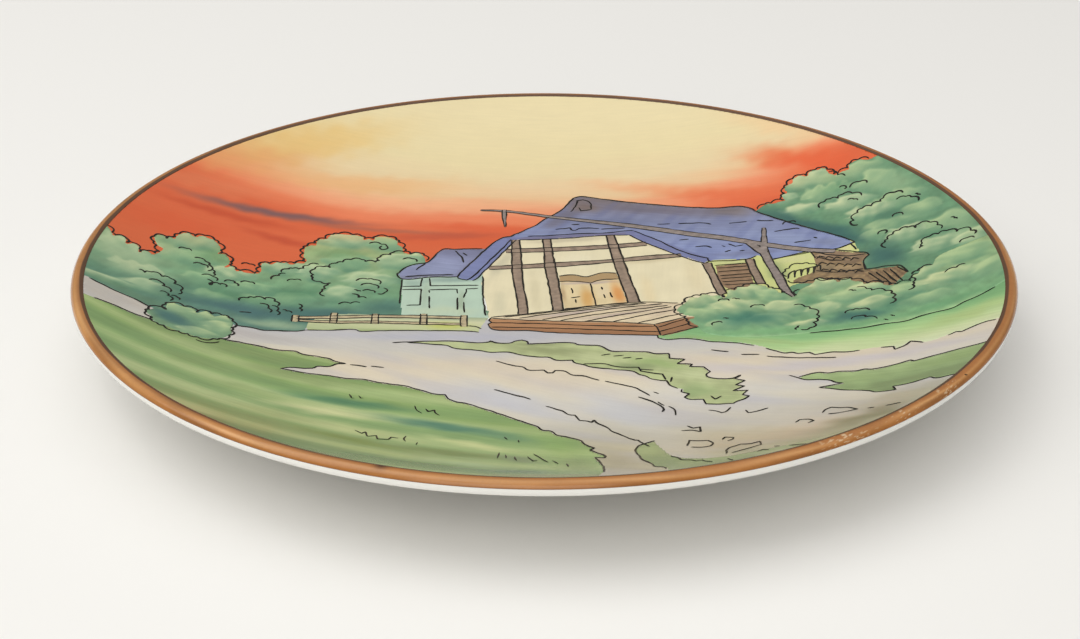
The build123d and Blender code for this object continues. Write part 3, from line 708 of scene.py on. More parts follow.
def leftTreePaint(x, y):
    # teal at the foot, green, then yellowed by the sky at the top, with clumps of leaves over it
    colour = ramp(y + 2 * softNoise(x, y, 22, 40),
                  [(-24, (92, 126, 114)), (-14, (98, 134, 112)), (0, (114, 152, 118)),
                   (14, (134, 164, 124)), (30, (158, 172, 124)), (40, (184, 172, 124))])
    colour = dappled(colour, x, y, 7, 0.07, 41)
    crowns = [
        (-104, 20, 9, 7, 1), (-59, 35, 11, 6, 1), (-47, 33, 7, 6, 0), (-37, 25, 5, 6, 1),
        (-119, 4, 9, 8, 1), (-101, 9, 8, 6, 0), (-90, 4, 8, 7, 1), (-76, 14, 8, 6, 1), (-58, 20, 8, 7, 0),
        (-44, 22, 7, 7, 1), (-113, -6, 9, 5, 1), (-97, -2, 7, 5, 0), (-66, 12, 7, 7, 1), (-50, 8, 9, 8, 1),
        (-82, -2, 8, 5, 0), (-108, -15, 9, 5, 1), (-78, -9, 8, 4, 0), (-58, -1, 6, 6, 1),
        (-93, -12, 7, 5, 0), (-70, -6, 6, 5, 0), (-120, -18, 9, 3, 1)]
    colour = leafClumps(colour, x, y,
                        [(cx, cy, rx, ry, (202, 214, 172) if pale else (160, 190, 146), (92, 134, 108))
                         for cx, cy, rx, ry, pale in crowns], 42)
    return dabs(colour, x, y, [
        (-84, -16, 18, 4, -6, (66, 100, 104), 0.75), (-62, -14, 14, 4, 0, (62, 98, 98), 0.75),
        (-44, -8, 7, 5, 0, (68, 106, 100), 0.7), (-102, -12, 5, 7, -20, (74, 112, 96), 0.6),
        (-70, -1, 8, 4, 10, (76, 122, 92), 0.6), (-96, 14, 6, 4, 0, (112, 150, 104), 0.5),
        (-60, 27, 9, 3, 6, (106, 142, 98), 0.6), (-38, 12, 5, 6, 0, (76, 116, 98), 0.7),
        (-88, -7, 8, 3, -10, (84, 128, 96), 0.6), (-105, 22, 8, 4, 0, (190, 178, 128), 0.35),
        (-58, 38, 10, 2.5, 0, (204, 178, 130), 0.45), (-112, -22, 14, 3, -16, (104, 134, 104), 0.6),
        (-118, 0, 14, 9, -20, (182, 196, 158), 0.6), (-112, 12, 7, 4, 0, (190, 196, 152), 0.5),
        (-74, -23, 10, 2.4, -4, (176, 192, 156), 0.6), (-50, 9, 5, 2.4, -4, (176, 200, 160), 0.5)], 43)


leftTreeLook = dict(pitch=0.5, lift=0.06, paint=leftTreePaint, outline=leftSkyline
                    + [(-33, 18), (-37, 8), (-37, -13), (-60, -15), (-64, -19)] + roadTop)
paintField("leftFoliage", "left_trees_enamel", leftTreeLook, leafFinish)


def rightVergePaint(x, y):
    # pale where it meets the road, green under the bushes
    t = y + 1.5 * softNoise(x, y, 14, 51) + 0.05 * (x - 75)
    colour = ramp(t, [(-47, (216, 222, 192)), (-41, (206, 216, 170)), (-35, (176, 204, 146)),
                      (-29, (140, 182, 128)), (-22, (120, 164, 116))])
    return dabs(colour, x, y, [
        (40, -27, 9, 1.6, -12, (148, 172, 120), 0.7), (60, -31, 14, 2, -16, (168, 188, 130), 0.6),
        (112, -36, 12, 4, 8, (178, 192, 132), 0.6)], 52)


rightRoadEdge = [
    (30.8, -24.5), (31, -26.5), (33, -27.5), (38, -27.3), (41.5, -28), (45, -29.8), (49, -30.5),
    (53, -31.6), (56.5, -33.3), (59.3, -35.3), (61.5, -37.3), (64, -39.3), (66, -39.3), (67.3, -40.3),
    (70.3, -40.4), (71.5, -42.3), (75.8, -42), (79.5, -43.4), (83, -43.8), (88.3, -44.4), (91.3, -45.5),
    (91.3, -47.8), (94, -46.5), (95.9, -44.6), (97.5, -46), (98.5, -47.5), (101, -48), (104.8, -47),
    (107, -46.3), (108.3, -47.3), (111, -46.3), (115, -45.8), (117, -46.5), (124, -46)]
rightVergeLook = dict(pitch=0.6, lift=0.05, paint=rightVergePaint, outline=rightRoadEdge
                      + [(130, -16), (40, -16)])
paintField("farGrass", "right_verge_enamel", rightVergeLook, lawnFinish)

rightSkyline = [
    (64, 53), (66.5, 55.8), (67.5, 57), (70, 58.5), (72, 58), (73, 58.5), (75, 58.8), (74.3, 60.8),
    (74.5, 62.5), (76.3, 62.8), (75.5, 65), (76.3, 67), (78.3, 67.8), (78.8, 70), (81, 71.5), (83.3, 70),
    (84, 71.8), (85.5, 72.5), (87.3, 72), (87.8, 72.8), (89.5, 71.8), (90, 69.3), (91.8, 67), (94, 68),
    (95.8, 67.8), (96, 70.3), (98, 71.5), (100, 71.5), (102.5, 70.3), (108, 72)]


def rightTreePaint(x, y):
    # pale clumps of leaves in front of deep teal hollows
    colour = dappled(flat(x, (102, 140, 108)), x, y, 6, 0.08, 61)
    crowns = [
        (84, 67, 9, 6, 1), (99, 66, 8, 5, 0), (74, 59, 6, 4, 1), (88, 57, 9, 6, 0), (103, 57, 7, 7, 0),
        (80, 51, 7, 4, 1), (94, 49, 8, 5, 1), (108, 44, 8, 6, 0), (99, 41, 8, 5, 1), (113, 34, 7, 6, 0),
        (103, 31, 8, 5, 0), (107, 23, 8, 6, 1), (119, 23, 7, 6, 0), (114, 12, 9, 6, 1), (124, 9, 7, 6, 1),
        (98, 27, 5, 4, 0), (76, 13, 6, 4, 1), (88, 12, 7, 5, 0)]
    colour = leafClumps(colour, x, y,
                        [(cx, cy, rx, ry, (218, 222, 178) if pale else (184, 202, 154), (96, 136, 108))
                         for cx, cy, rx, ry, pale in crowns], 62)
    return dabs(colour, x, y, [
        (77, 44, 13, 4, -45, (52, 92, 88), 0.9), (88, 32, 11, 5, -45, (48, 90, 88), 0.9),
        (69, 52, 6, 3, -40, (60, 100, 90), 0.7), (99, 14, 6, 7, 0, (54, 94, 90), 0.85),
        (91, 60, 5, 3, 0, (84, 130, 96), 0.5), (104, 37, 6, 3, 0, (70, 112, 92), 0.6),
        (117, 18, 7, 2.5, 0, (78, 122, 94), 0.6), (86, 21, 9, 4, -25, (80, 112, 94), 0.7),
        (108, 54, 5, 9, 24, (158, 182, 142), 0.6), (122, 20, 4, 9, 0, (164, 186, 144), 0.5),
        (92, 67, 10, 4, 0, (176, 190, 144), 0.55), (80, 68, 5, 3, 0, (186, 192, 146), 0.5)], 63)


rightTreeLook = dict(pitch=0.5, lift=0.06, paint=rightTreePaint,
                     outline=rightSkyline + rimArc(33, -3, 20) + [(104, -10), (60, -10), (60, 27)])
paintField("rightFoliage", "right_trees_enamel", rightTreeLook, leafFinish)


def wallPaint(tone, marks, seed):
    # a plain plaster wash with a few dabs of shade
    return lambda x, y: dabs(dappled(flat(x, tone), x, y, 16, 0.02, seed), x, y, marks, seed)


annexWallLook = dict(
    pitch=0.5, lift=0.07,
    outline=[(-41.3, 14), (-40.8, -5), (-40, -13), (-15, -13), (-16.3, -8), (-17, -4.5), (-17.5, 2.5),
             (-17.5, 16), (-26, 17)],
    paint=wallPaint((184, 204, 186), [
        (-38, 9, 3, 3, 0, (150, 172, 160), 0.7), (-26, 12, 10, 1.6, 8, (140, 160, 152), 0.8),
        (-23.6, -2, 1, 7, 0, (152, 166, 140), 0.6), (-34, 2, 1, 8, 0, (158, 174, 152), 0.5),
        (-28, -9, 9, 3, 0, (196, 206, 176), 0.6)], 71))
paintField("annexPlaster", "annex_wall_enamel", annexWallLook, wallFinish)

houseWallLook = dict(
    pitch=0.5, lift=0.07,
    outline=[(-18.5, 14.5), (-13, 29.5), (-8, 41.5), (26, 44.5), (31, 38), (40, 29), (49, 23), (50.5, 10),
             (52, -3), (40, -6), (28.5, -4), (21.5, -4.5), (13, -6.5), (3, -9), (-4.5, -11), (-15.5, -13),
             (-16.3, -4)],
    paint=wallPaint((228, 218, 186), [
        (-13, 22, 2, 10, -18, (190, 184, 160), 0.7), (8, 40, 14, 1.5, 6, (196, 186, 160), 0.8),
        (-12.5, -4, 2, 7, 0, (206, 200, 172), 0.7), (-2.5, 5, 1.6, 14, 3, (206, 196, 164), 0.5),
        (32, 25, 10, 1.6, 9, (204, 190, 156), 0.6), (34, 35, 6, 1.8, -42, (196, 184, 154), 0.7),
        (30, 4, 2, 10, 4, (226, 208, 168), 0.6), (44, 14, 3, 12, 4, (220, 206, 170), 0.5),
        (10, 26, 6, 5, 0, (232, 224, 196), 0.6)], 72))
paintField("gablePlaster", "house_wall_enamel", houseWallLook, wallFinish)

sideWallLook = dict(
    pitch=0.5, lift=0.07,
    outline=[(47, 27), (67, 27), (79, 28), (92, 28), (93, 20), (84, 16), (81, 8), (72, 4), (66, -2),
             (52, -4), (49, 8)],
    paint=wallPaint((202, 206, 140), [
        (55, 22, 6, 1.5, 4, (196, 198, 150), 0.6), (74, 21, 6, 2.5, 12, (206, 204, 158), 0.6),
        (52, 4, 3, 3, 0, (190, 192, 130), 0.5), (68, 14, 3, 6, 0, (130, 144, 106), 0.8),
        (89, 23, 2.5, 2, 0, (212, 206, 160), 0.7)], 73))
paintField("sidePlaster", "side_wall_enamel", sideWallLook, wallFinish)


def roofPaint(x, y):
    # thatch in cool blue-grey, browner towards the ridge, with straw streaks that follow the slope
    t = y + 0.12 * (x - 30) + 1.5 * softNoise(x, y, 12, 81)
    colour = ramp(t, [(20, (140, 150, 188)), (34, (136, 146, 184)), (44, (134, 142, 176)),
                      (52, (130, 136, 166)), (60, (126, 126, 148)), (66, (120, 110, 114))])
    across = softNoise((x - 0.55 * y) * 1.4, (y + 0.2 * x) * 0.25, 7, 82)
    colour = mixIn(colour, (96, 104, 148), 0.28 * np.clip(across, 0, 1))
    colour = mixIn(colour, (156, 166, 200), 0.16 * np.clip(-across, 0, 1))
    colour = dabs(colour, x, y, [
        (13, 63, 5, 4, -20, (120, 100, 86), 0.8), (6, 56, 3, 8, -35, (104, 98, 110), 0.7),
        (35, 60, 22, 3, -12, (110, 102, 112), 0.7), (58, 56, 7, 3, -12, (120, 108, 104), 0.7),
        (20, 52, 12, 4, 0, (108, 112, 138), 0.6), (46, 40, 12, 4, 0, (142, 150, 182), 0.6),
        (72, 36, 12, 3, -30, (146, 156, 186), 0.6), (62, 28, 12, 2, 4, (118, 122, 150), 0.7),
        (84, 29, 6, 2, -20, (122, 128, 154), 0.6), (10, 46, 16, 1.6, 6, (122, 126, 152), 0.5),
        (52, 49, 12, 3, 0, (124, 130, 160), 0.6)], 83)
    # the cut edge of the thatch under the gable and down both verges is deeper
    gableTop = np.interp(x, (-12, 0, 10, 20, 27), (41.5, 43, 44.3, 44.8, 45.8))
    soffit = np.clip((gableTop - y) / 0.5, 0, 1) * (x > -11) * (x < 28) * (y > 38)
    colour = mixIn(colour, (112, 108, 136), 0.8 * soffit)
    verge = np.clip((np.interp(y, (11, 20, 34, 42), (-19, -15.5, -9.5, -6.5)) - x) / 0.8, 0, 1) * (y < 42)
    colour = mixIn(colour, (118, 124, 164), 0.75 * verge)
    rake = np.clip((27.5 + (45.8 - y) * 1.02 + 0.8 - x) / 0.8, 0, 1) * (x > 25) * (y < 46)
    return mixIn(colour, (116, 120, 158), 0.8 * rake)


roofLook = dict(pitch=0.55, lift=0.09, paint=roofPaint, outline=[
    (-25.3, 13.8), (-23.5, 19.5), (-20, 27.5), (-17, 34.5), (-14, 40), (-12, 41.8), (-10, 42.5), (-9, 44),
    (-7.8, 44.8), (-5, 48), (-2.5, 50.5), (0, 54.5), (2.5, 57.3), (5.8, 62), (8, 67), (9.5, 70),
    (11.5, 70.8), (15, 70), (22.5, 67.5), (30, 65.3), (40, 62.5), (47.5, 60.5), (55, 59), (61, 58.8),
    (63.5, 57.5), (65.8, 54.5), (70, 50), (75, 45), (80, 40), (85, 35), (89.5, 30), (91.3, 27.5), (92, 26),
    (86, 24), (79, 25), (67, 22), (63, 25.5), (61.5, 24), (49, 23), (47.5, 21.8), (45, 23.5), (40, 28),
    (35, 33), (30, 38), (26, 43), (17.5, 42.8), (7.5, 41.3), (-2, 40.3), (-8.5, 40), (-10.5, 35.5),
    (-13, 29.5), (-16.5, 20.5), (-20, 12.3), (-20.8, 11.5), (-22.5, 11.8), (-25, 13)])
paintField("thatchRoof", "roof_enamel", roofLook, thatchFinish)


def annexRoofPaint(x, y):
    # the lower thatch: blue-grey, darkest under its ridge and along its eaves
    colour = ramp(y + 0.3 * x, [(-2, (134, 138, 168)), (8, (144, 150, 180)), (18, (138, 142, 172)),
                                (26, (120, 122, 148))])
    return dabs(colour, x, y, [
        (-34, 13.6, 9, 1.2, 8, (112, 110, 124), 0.8), (-27, 30, 6, 2, 0, (118, 120, 146), 0.6),
        (-29, 22, 5, 4, 60, (152, 158, 188), 0.6), (-22, 20, 2, 8, -25, (112, 112, 136), 0.7),
        (-38, 17, 3, 3, 0, (126, 130, 158), 0.5)], 86)


annexRoofLook = dict(pitch=0.5, lift=0.08, paint=annexRoofPaint, outline=[
    (-42.8, 15), (-42, 12), (-40.5, 11.3), (-34, 13), (-27.5, 13.8), (-24, 13.5), (-20, 24), (-16, 35),
    (-18.5, 33.6), (-22.5, 33.3), (-27, 32.8), (-30, 32.8), (-31.5, 31), (-33, 26.5), (-35, 23),
    (-38, 21.8), (-41, 19), (-42.5, 15.5)])
paintField("annexThatch", "annex_roof_enamel", annexRoofLook, thatchFinish)


def deckPaint(x, y):
    # pale boards on top, a brown fascia below the front edge and a darker side
    front = np.interp(x, (-15, 3, 20.5, 30.5, 40), (-13.3, -14.8, -15.8, -17.8, -13.5))
    colour = dappled(flat(x, (220, 204, 174)), x, y, 5, 0.04, 91)
    colour = dabs(colour, x, y, [
        (8, -9.5, 14, 1, 16, (176, 160, 156), 0.7), (20, -11, 12, 1, 14, (184, 166, 156), 0.7),
        (28, -6, 8, 1, 10, (190, 172, 150), 0.7), (2, -12.6, 12, 0.8, 10, (192, 172, 148), 0.7),
        (33, -10, 5, 2, 20, (196, 178, 158), 0.6)], 92)
    fascia = np.clip((front - y) / 0.4, 0, 1)
    colour = mixIn(colour, (168, 124, 88), 0.95 * fascia)
    colour = mixIn(colour, (140, 100, 70), 0.7 * np.clip((front - 4 - y) / 3, 0, 1))
    return mixIn(colour, (132, 98, 72), 0.5 * fascia * (x > 31))


deckLook = dict(pitch=0.45, lift=0.09, paint=deckPaint, outline=[
    (-15, -12), (-4.5, -9.5), (3, -7.5), (13, -5), (21.5, -3), (28.5, -2.5), (39, -4), (42, -10), (43, -20),
    (32.3, -25), (31.3, -24.8), (23, -24), (13, -23.3), (0, -21.8), (-4.5, -21), (-13, -20.8), (-14.5, -20),
    (-15.5, -17), (-14.5, -15.8), (-15.3, -14.5), (-14.8, -12.8)])
paintField("verandaBoards", "deck_enamel", deckLook, woodFinish)


def doorPaint(x, y):
    # cream paper doors, ochre along their right sides, under a curved wooden lintel
    colour = dappled(flat(x, (222, 204, 164)), x, y, 6, 0.03, 95)
    lintel = np.clip((y - np.interp(x, (4, 9, 13.5, 18, 22), (11.2, 11.4, 10.4, 12.4, 12.8))) / 0.5, 0, 1)
    colour = dabs(colour, x, y, [
        (13, 10.4, 9, 0.9, 4, (176, 160, 160), 0.7), (12.4, 0, 2, 7, 3, (206, 160, 96), 0.85),
        (21.4, 2, 2, 7.5, 4, (212, 146, 82), 0.85), (8, -4, 3, 3, 0, (212, 194, 154), 0.6),
        (17, 5, 2, 4, 0, (222, 206, 176), 0.5), (5.6, 2, 0.8, 8, 3, (176, 150, 116), 0.7)], 96)
    return mixIn(colour, (164, 136, 98), 0.85 * lintel)


doorLook = dict(pitch=0.4, lift=0.1, paint=doorPaint, outline=[
    (4.3, 15), (4.5, 11.3), (4.6, 4), (5.8, -7), (14.8, -5), (24, -3.4), (23, 4), (22.4, 12), (21.3, 16.8),
    (16.5, 17), (14, 15.3), (12.5, 14.5), (9, 15.8), (6.5, 15.8)])
paintField("slidingDoors", "door_enamel", doorLook, wallFinish)


def shutterPaint(x, y):
    # a boarded shutter: a sine across the boards darkens every other one
    board = np.sin((y - 0.07 * x) * 2.3)
    colour = mixIn(flat(x, (146, 120, 94)), (116, 92, 72), 0.45 * np.clip(board, 0, 1))
    return dappled(colour, x, y, 4, 0.08, 98)


shutterLook = dict(pitch=0.45, lift=0.09, paint=shutterPaint,
                   outline=[(50.3, 20), (60, 20.8), (60.8, 9), (61, 4), (55, 2), (52, 4.5)])
paintField("stormShutter", "shutter_enamel", shutterLook, woodFinish)


def pilePaint(x, y):
    # a heap of cut brush over slatted boards
    colour = dappled(flat(x, (140, 118, 88)), x, y, 3.5, 0.16, 101)
    colour = leafClumps(colour, x, y,
                        [(84, 20, 5, 4, (172, 148, 122), (118, 96, 78)),
                         (90, 16, 4, 4, (164, 140, 112), (106, 88, 70)),
                         (82, 12, 5, 3, (158, 140, 108), (104, 88, 70)),
                         (88, 9, 5, 4, (176, 152, 116), (112, 94, 74))], 102)
    slats = np.sin((x + 0.35 * y) * 3.1) * np.clip((x - 90) / 3, 0, 1) * (y < 8)
    return mixIn(colour, (92, 70, 52), 0.6 * np.clip(slats, 0, 1))


pileLook = dict(pitch=0.45, lift=0.08, paint=pilePaint, outline=[
    (79, 19), (78.5, 27), (86, 23.5), (91.5, 20), (94.3, 18), (94.8, 16.5), (93, 14), (92.5, 8), (101.5, 6),
    (102.5, 4), (103.3, 0.5), (98, -6), (92, -3), (84, 1), (76, 4), (71, 5), (72, 8), (78, 12)])
paintField("brushPile", "log_pile_enamel", pileLook, woodFinish)


def rightBushPaint(x, y):
    # three rows of clumps, with a dark hollow in the near bush and grass-green at the foot
    colour = ramp(y + 1.5 * softNoise(x, y, 16, 110),
                  [(-30, (160, 192, 142)), (-24, (130, 170, 126)), (-14, (116, 152, 118)),
                   (4, (154, 176, 130))])
    colour = dappled(colour, x, y, 6, 0.07, 111)
    crowns = [
        (45, -4, 7, 5, 1), (57, 1, 8, 5, 1), (65, -2, 5, 5, 0), (81, 2, 8, 5, 1), (92, -4, 7, 4, 1),
        (107, -2, 6, 5, 1), (119, 1, 9, 6, 0), (44, -13, 6, 5, 0), (54, -9, 8, 6, 1), (68, -11, 7, 6, 1),
        (86, -8, 8, 5, 0), (101, -11, 6, 5, 0), (113, -10, 9, 6, 1), (78, -14, 6, 5, 1), (62, -18, 8, 5, 0),
        (92, -15, 7, 5, 1), (105, -19, 8, 4, 0), (124, -12, 6, 7, 0), (73, -22, 6, 3, 1),
        (50, -20, 6, 4, 0)]
    colour = leafClumps(colour, x, y,
                        [(cx, cy, rx, ry, (222, 224, 174) if pale else (188, 206, 156), (102, 142, 112))
                         for cx, cy, rx, ry, pale in crowns], 112)
    return dabs(colour, x, y, [
        (57, -16, 9, 4, 0, (58, 112, 98), 0.8), (86, -21, 9, 3.4, 0, (54, 98, 94), 0.8),
        (97, -17, 6, 4, 0, (76, 122, 98), 0.6), (74, -8, 3, 5, 0, (84, 132, 98), 0.6),
        (108, -25, 14, 2.4, 6, (104, 150, 110), 0.7), (60, -25, 14, 2, 0, (122, 168, 120), 0.7),
        (82, -26.5, 14, 1.6, 0, (112, 158, 114), 0.7), (40, -14, 2, 3, 0, (120, 164, 118), 0.6)], 113)


rightBushLook = dict(pitch=0.5, lift=0.1, paint=rightBushPaint, outline=[
    (42.5, -21), (42, -19.8), (40.5, -17.5), (39.8, -15), (41.8, -13.8), (38.8, -12.5), (37, -9.5),
    (37.5, -7), (40, -4), (40.8, -2), (42, -0.3), (44, -0.8), (44.8, 1), (46.5, 1.1), (48, 0), (50, 0.5),
    (51.3, -1.8), (52, 0), (52.3, 2.5), (53.3, 4.3), (54.5, 2.8), (55, 5.3), (58.3, 5), (59.3, 6.8),
    (60.5, 7), (62, 5.8), (63.8, 5), (64.5, 3.3), (66.3, 2.8), (67.5, 0), (70, -0.8), (71.3, -3), (73, 1),
    (77, 4.5), (77.5, 6.5), (79.5, 7.3), (81.5, 5.5), (83.5, 5.3), (84.3, 3), (85, 5), (87.5, 4.5),
    (88.8, 2), (90.5, 1), (91, -0.8), (95, -1.5), (96.5, -4), (98.3, -5.5), (101, -4.5), (103, -5.5),
    (104, -1.5), (105.5, -2), (106.5, 0.5), (107.5, 1.8), (110, 1), (112, 5), (118, 7), (131, 8),
    (130, -20), (121.5, -24.9), (117, -27), (113, -28), (110, -29.5), (101.5, -29.3), (98, -30.3),
    (92, -29.3), (85.5, -29.1), (80, -28.5), (75, -28), (72, -27.8), (62, -28), (50, -26.8), (44, -24)])
paintField("gardenBushes", "right_bushes_enamel", rightBushLook, leafFinish)


def lawnPaint(x, y):
    # grass in long streaks that fall away from the left rim, with brushed shadows and pale patches
    t = (x * 0.42 + y) + 3 * softNoise(x, y, 26, 121)
    colour = ramp(t, [(-140, (112, 136, 100)), (-120, (134, 160, 108)), (-108, (146, 172, 118)),
                      (-96, (154, 180, 122)), (-84, (146, 170, 110)), (-70, (136, 158, 102))])
    left = x + 10
    streak = softNoise(x * 0.1, y + 0.12 * left - 0.00145 * left ** 2, 15, 124)
    colour = mixIn(colour, (204, 212, 160), 0.6 * np.clip(streak, 0, 1))
    colour = mixIn(colour, (104, 134, 92), 0.45 * np.clip(-streak, 0, 1))
    return dabs(colour, x, y, [
        (-78, -43, 20, 3.5, -14, (136, 152, 102), 0.7), (-92, -45, 12, 4, -10, (160, 176, 126), 0.7),
        (-62, -55, 18, 4, -12, (132, 150, 100), 0.7), (-88, -56, 14, 4, -14, (142, 160, 108), 0.6),
        (-50, -69.5, 16, 2.6, -8, (84, 128, 96), 0.85), (-55, -77, 16, 3, -8, (212, 214, 164), 0.9),
        (-74, -70, 14, 4, -14, (152, 172, 116), 0.6), (-24, -82, 17, 2.8, -16, (78, 122, 104), 0.85),
        (-9, -88, 8, 2.4, -26, (112, 146, 112), 0.7), (-18, -94, 12, 2.6, -24, (205, 212, 156), 0.9),
        (-44, -89, 16, 3.4, -14, (198, 204, 150), 0.6), (-66, -84, 12, 3, -12, (160, 172, 120), 0.6),
        (-44, -98, 14, 2.4, -20, (104, 134, 70), 0.85), (-22, -102, 14, 2.2, -14, (92, 122, 70), 0.85),
        (-6, -106, 6, 2.4, -30, (110, 130, 105), 0.7), (-38, -107, 12, 2.4, -18, (162, 182, 124), 0.8),
        (-18, -112, 10, 2.2, -12, (156, 180, 138), 0.7), (-28, -115.5, 18, 2.4, -14, (86, 120, 76), 0.85),
        (-6, -119, 8, 2.4, 0, (92, 120, 104), 0.7), (4, -96, 4, 8, 24, (142, 172, 106), 0.7),
        (8, -112, 4, 9, 6, (128, 146, 104), 0.6), (-2, -124, 16, 2.2, 0, (138, 136, 110), 0.7),
        (-40, -63, 14, 3, -16, (156, 178, 122), 0.6), (-20, -72, 12, 3, -24, (140, 168, 112), 0.6),
        (-70, -98, 10, 3, -30, (146, 164, 114), 0.6), (-100, -38, 12, 3, -10, (134, 152, 104), 0.6)], 122)


roadBottom = [
    (-119.8, -32), (-115, -32.5), (-110, -34), (-104, -35), (-92, -36.5), (-85.5, -37.3), (-77, -38),
    (-71, -39.3), (-66, -39), (-64, -40.3), (-60.5, -41), (-56.8, -42), (-55, -43.5), (-52.3, -44.5),
    (-54.5, -45), (-56, -46.8), (-59.3, -47.5), (-60.3, -48.8), (-66.5, -50), (-68.3, -51.3), (-65, -51.8),
    (-62.5, -52.3), (-54.3, -53), (-51.5, -53.8), (-46.5, -53.8), (-44, -54.8), (-39, -56), (-35.5, -56.8),
    (-32.5, -58.5), (-27, -61.3), (-25.3, -61.3), (-24.3, -63.5), (-22.5, -65.3), (-20.3, -66),
    (-15, -69.5), (-10, -73.3), (-5, -77.5), (-2, -80), (0, -83), (1.5, -83.3), (3, -86), (6, -88),
    (8.8, -90.3), (9.5, -92.5), (11.8, -96.5), (11, -98), (12.5, -100.5), (14.3, -103.5), (14, -105),
    (12, -104.5), (13.5, -113), (13.5, -120), (12, -126)]
lawnLook = dict(pitch=0.6, lift=0.06, paint=lawnPaint, outline=[(-126, -31)] + roadBottom
                + rimArc(-85, -166, 30))
paintField("nearLawn", "lawn_enamel", lawnLook, lawnFinish)


def bushPaint(x, y):
    # a round bush: four pale crowns over a teal foot
    colour = dappled(flat(x, (120, 150, 118)), x, y, 5, 0.08, 131)
    crowns = [(-100, -24, 6, 4), (-89, -24, 7, 4), (-88, -31, 5, 5), (-93, -36, 6, 3)]
    colour = leafClumps(colour, x, y, [(*c, (206, 218, 166), (120, 154, 122)) for c in crowns], 132)
    return dabs(colour, x, y, [(-100, -30, 7, 3.2, -35, (66, 104, 104), 0.85),
                               (-92, -29, 4, 3, -20, (104, 140, 116), 0.6)], 133)


bushOutline = [
    (-102.3, -26), (-102.8, -24), (-102.8, -21.5), (-101.5, -20), (-98.8, -21), (-95.5, -20.8),
    (-94.6, -23.3), (-92.5, -20.5), (-89.8, -23.2), (-88.5, -22), (-87, -21), (-86, -22.8), (-84.8, -24.5),
    (-84.3, -27), (-84.5, -29.5), (-83.8, -32), (-84.5, -34.5), (-86, -37), (-89, -38.8), (-92, -39.3),
    (-94.3, -38.5), (-98, -37.8), (-100, -36.8), (-102, -36.5), (-104, -35), (-105, -32.5), (-106.3, -31.3),
    (-106.8, -29.5), (-105.5, -27.5), (-105.5, -26), (-104, -24.8)]
paintField("roundBush", "bush_enamel", dict(pitch=0.4, lift=0.1, outline=bushOutline, paint=bushPaint),
           leafFinish)


def middleGrassPaint(x, y):
    # a pale tongue of grass between the ruts, mottled along its length
    colour = dappled(flat(x, (182, 190, 144)), x, y, 9, 0.06, 141)
    return dabs(colour, x, y, [
        (-20, -31, 14, 2, -6, (188, 194, 150), 0.6), (2, -34, 12, 3, -10, (142, 148, 108), 0.7),
        (14, -38, 8, 2.6, -14, (194, 200, 156), 0.7), (30, -42, 8, 3, -20, (150, 172, 114), 0.7),
        (40, -50, 6, 4, -30, (196, 202, 160), 0.7), (38, -60, 7, 4, 0, (146, 166, 118), 0.7),
        (24, -44, 6, 2, -10, (132, 146, 106), 0.7), (46, -66, 4, 3, 0, (176, 188, 140), 0.6),
        (-2, -29.6, 8, 1.2, 0, (134, 140, 102), 0.6)], 142)


islandTop = [
    (-41, -30.3), (-37, -29.5), (-30, -28.6), (-24, -28.3), (-20.5, -28.9), (-15, -28.5), (-14.5, -27.8),
    (-12.5, -29), (-9, -28.9), (-8, -27.8), (-6, -27), (-4.5, -28), (-4.3, -29.5), (0, -29.1), (8.3, -29),
    (9, -29.8), (12, -30.3), (15, -30.8), (18.3, -34.3), (21.5, -34.6), (28, -35.3), (29.3, -36.1),
    (33.3, -36.5), (33.5, -39.3), (37.3, -40.3), (35.3, -42.8), (39, -43.5), (38.5, -44.8), (42, -45.3),
    (43.5, -48.3), (42.3, -50), (42.5, -51.3), (45, -52.8), (49, -53), (51, -51.5), (49.3, -53.3),
    (51.8, -55), (49.3, -57.3), (51.3, -58.5), (48.3, -61), (52, -61.4), (50.3, -64), (51.8, -65.3),
    (50.5, -67), (48.5, -68.3), (47.5, -69.5), (45, -69.3), (44, -69.3), (40.8, -68.5), (40.3, -65.5),
    (37, -65), (35.8, -63.5), (37, -61.5), (35.3, -60), (35.5, -58.5)]
islandBottom = [
    (-37, -29.8), (-30, -30.6), (-25.8, -31.3), (-24.5, -32.5), (-22, -33.3), (-19, -33.5), (-14.5, -34.9),
    (-9.5, -34.8), (-6, -36.5), (-2.5, -37.5), (1, -37.8), (3.3, -39.5), (7.5, -39.8), (8, -41),
    (10.3, -42.5), (12.5, -44), (16, -45), (20, -46), (23.5, -47), (25, -49), (26.5, -50), (28, -51.8),
    (30, -52.8), (31.8, -53), (32.3, -55.5), (34.3, -58)]
middleGrassLook = dict(pitch=0.5, lift=0.06, paint=middleGrassPaint, outline=islandTop + islandBottom[::-1])
paintField("middleGrass", "middle_grass_enamel", middleGrassLook, lawnFinish)


def rightGrassPaint(x, y):
    # darker towards the rim
    colour = ramp(y + 0.1 * x, [(-70, (132, 148, 106)), (-60, (148, 168, 120)), (-50, (166, 184, 134))])
    return dabs(dappled(colour, x, y, 9, 0.05, 151), x, y, [
        (95, -72, 14, 2.6, -8, (128, 142, 102), 0.7), (78, -62, 10, 3, -20, (158, 178, 124), 0.6),
        (104, -64, 12, 3, -4, (146, 166, 112), 0.6)], 152)


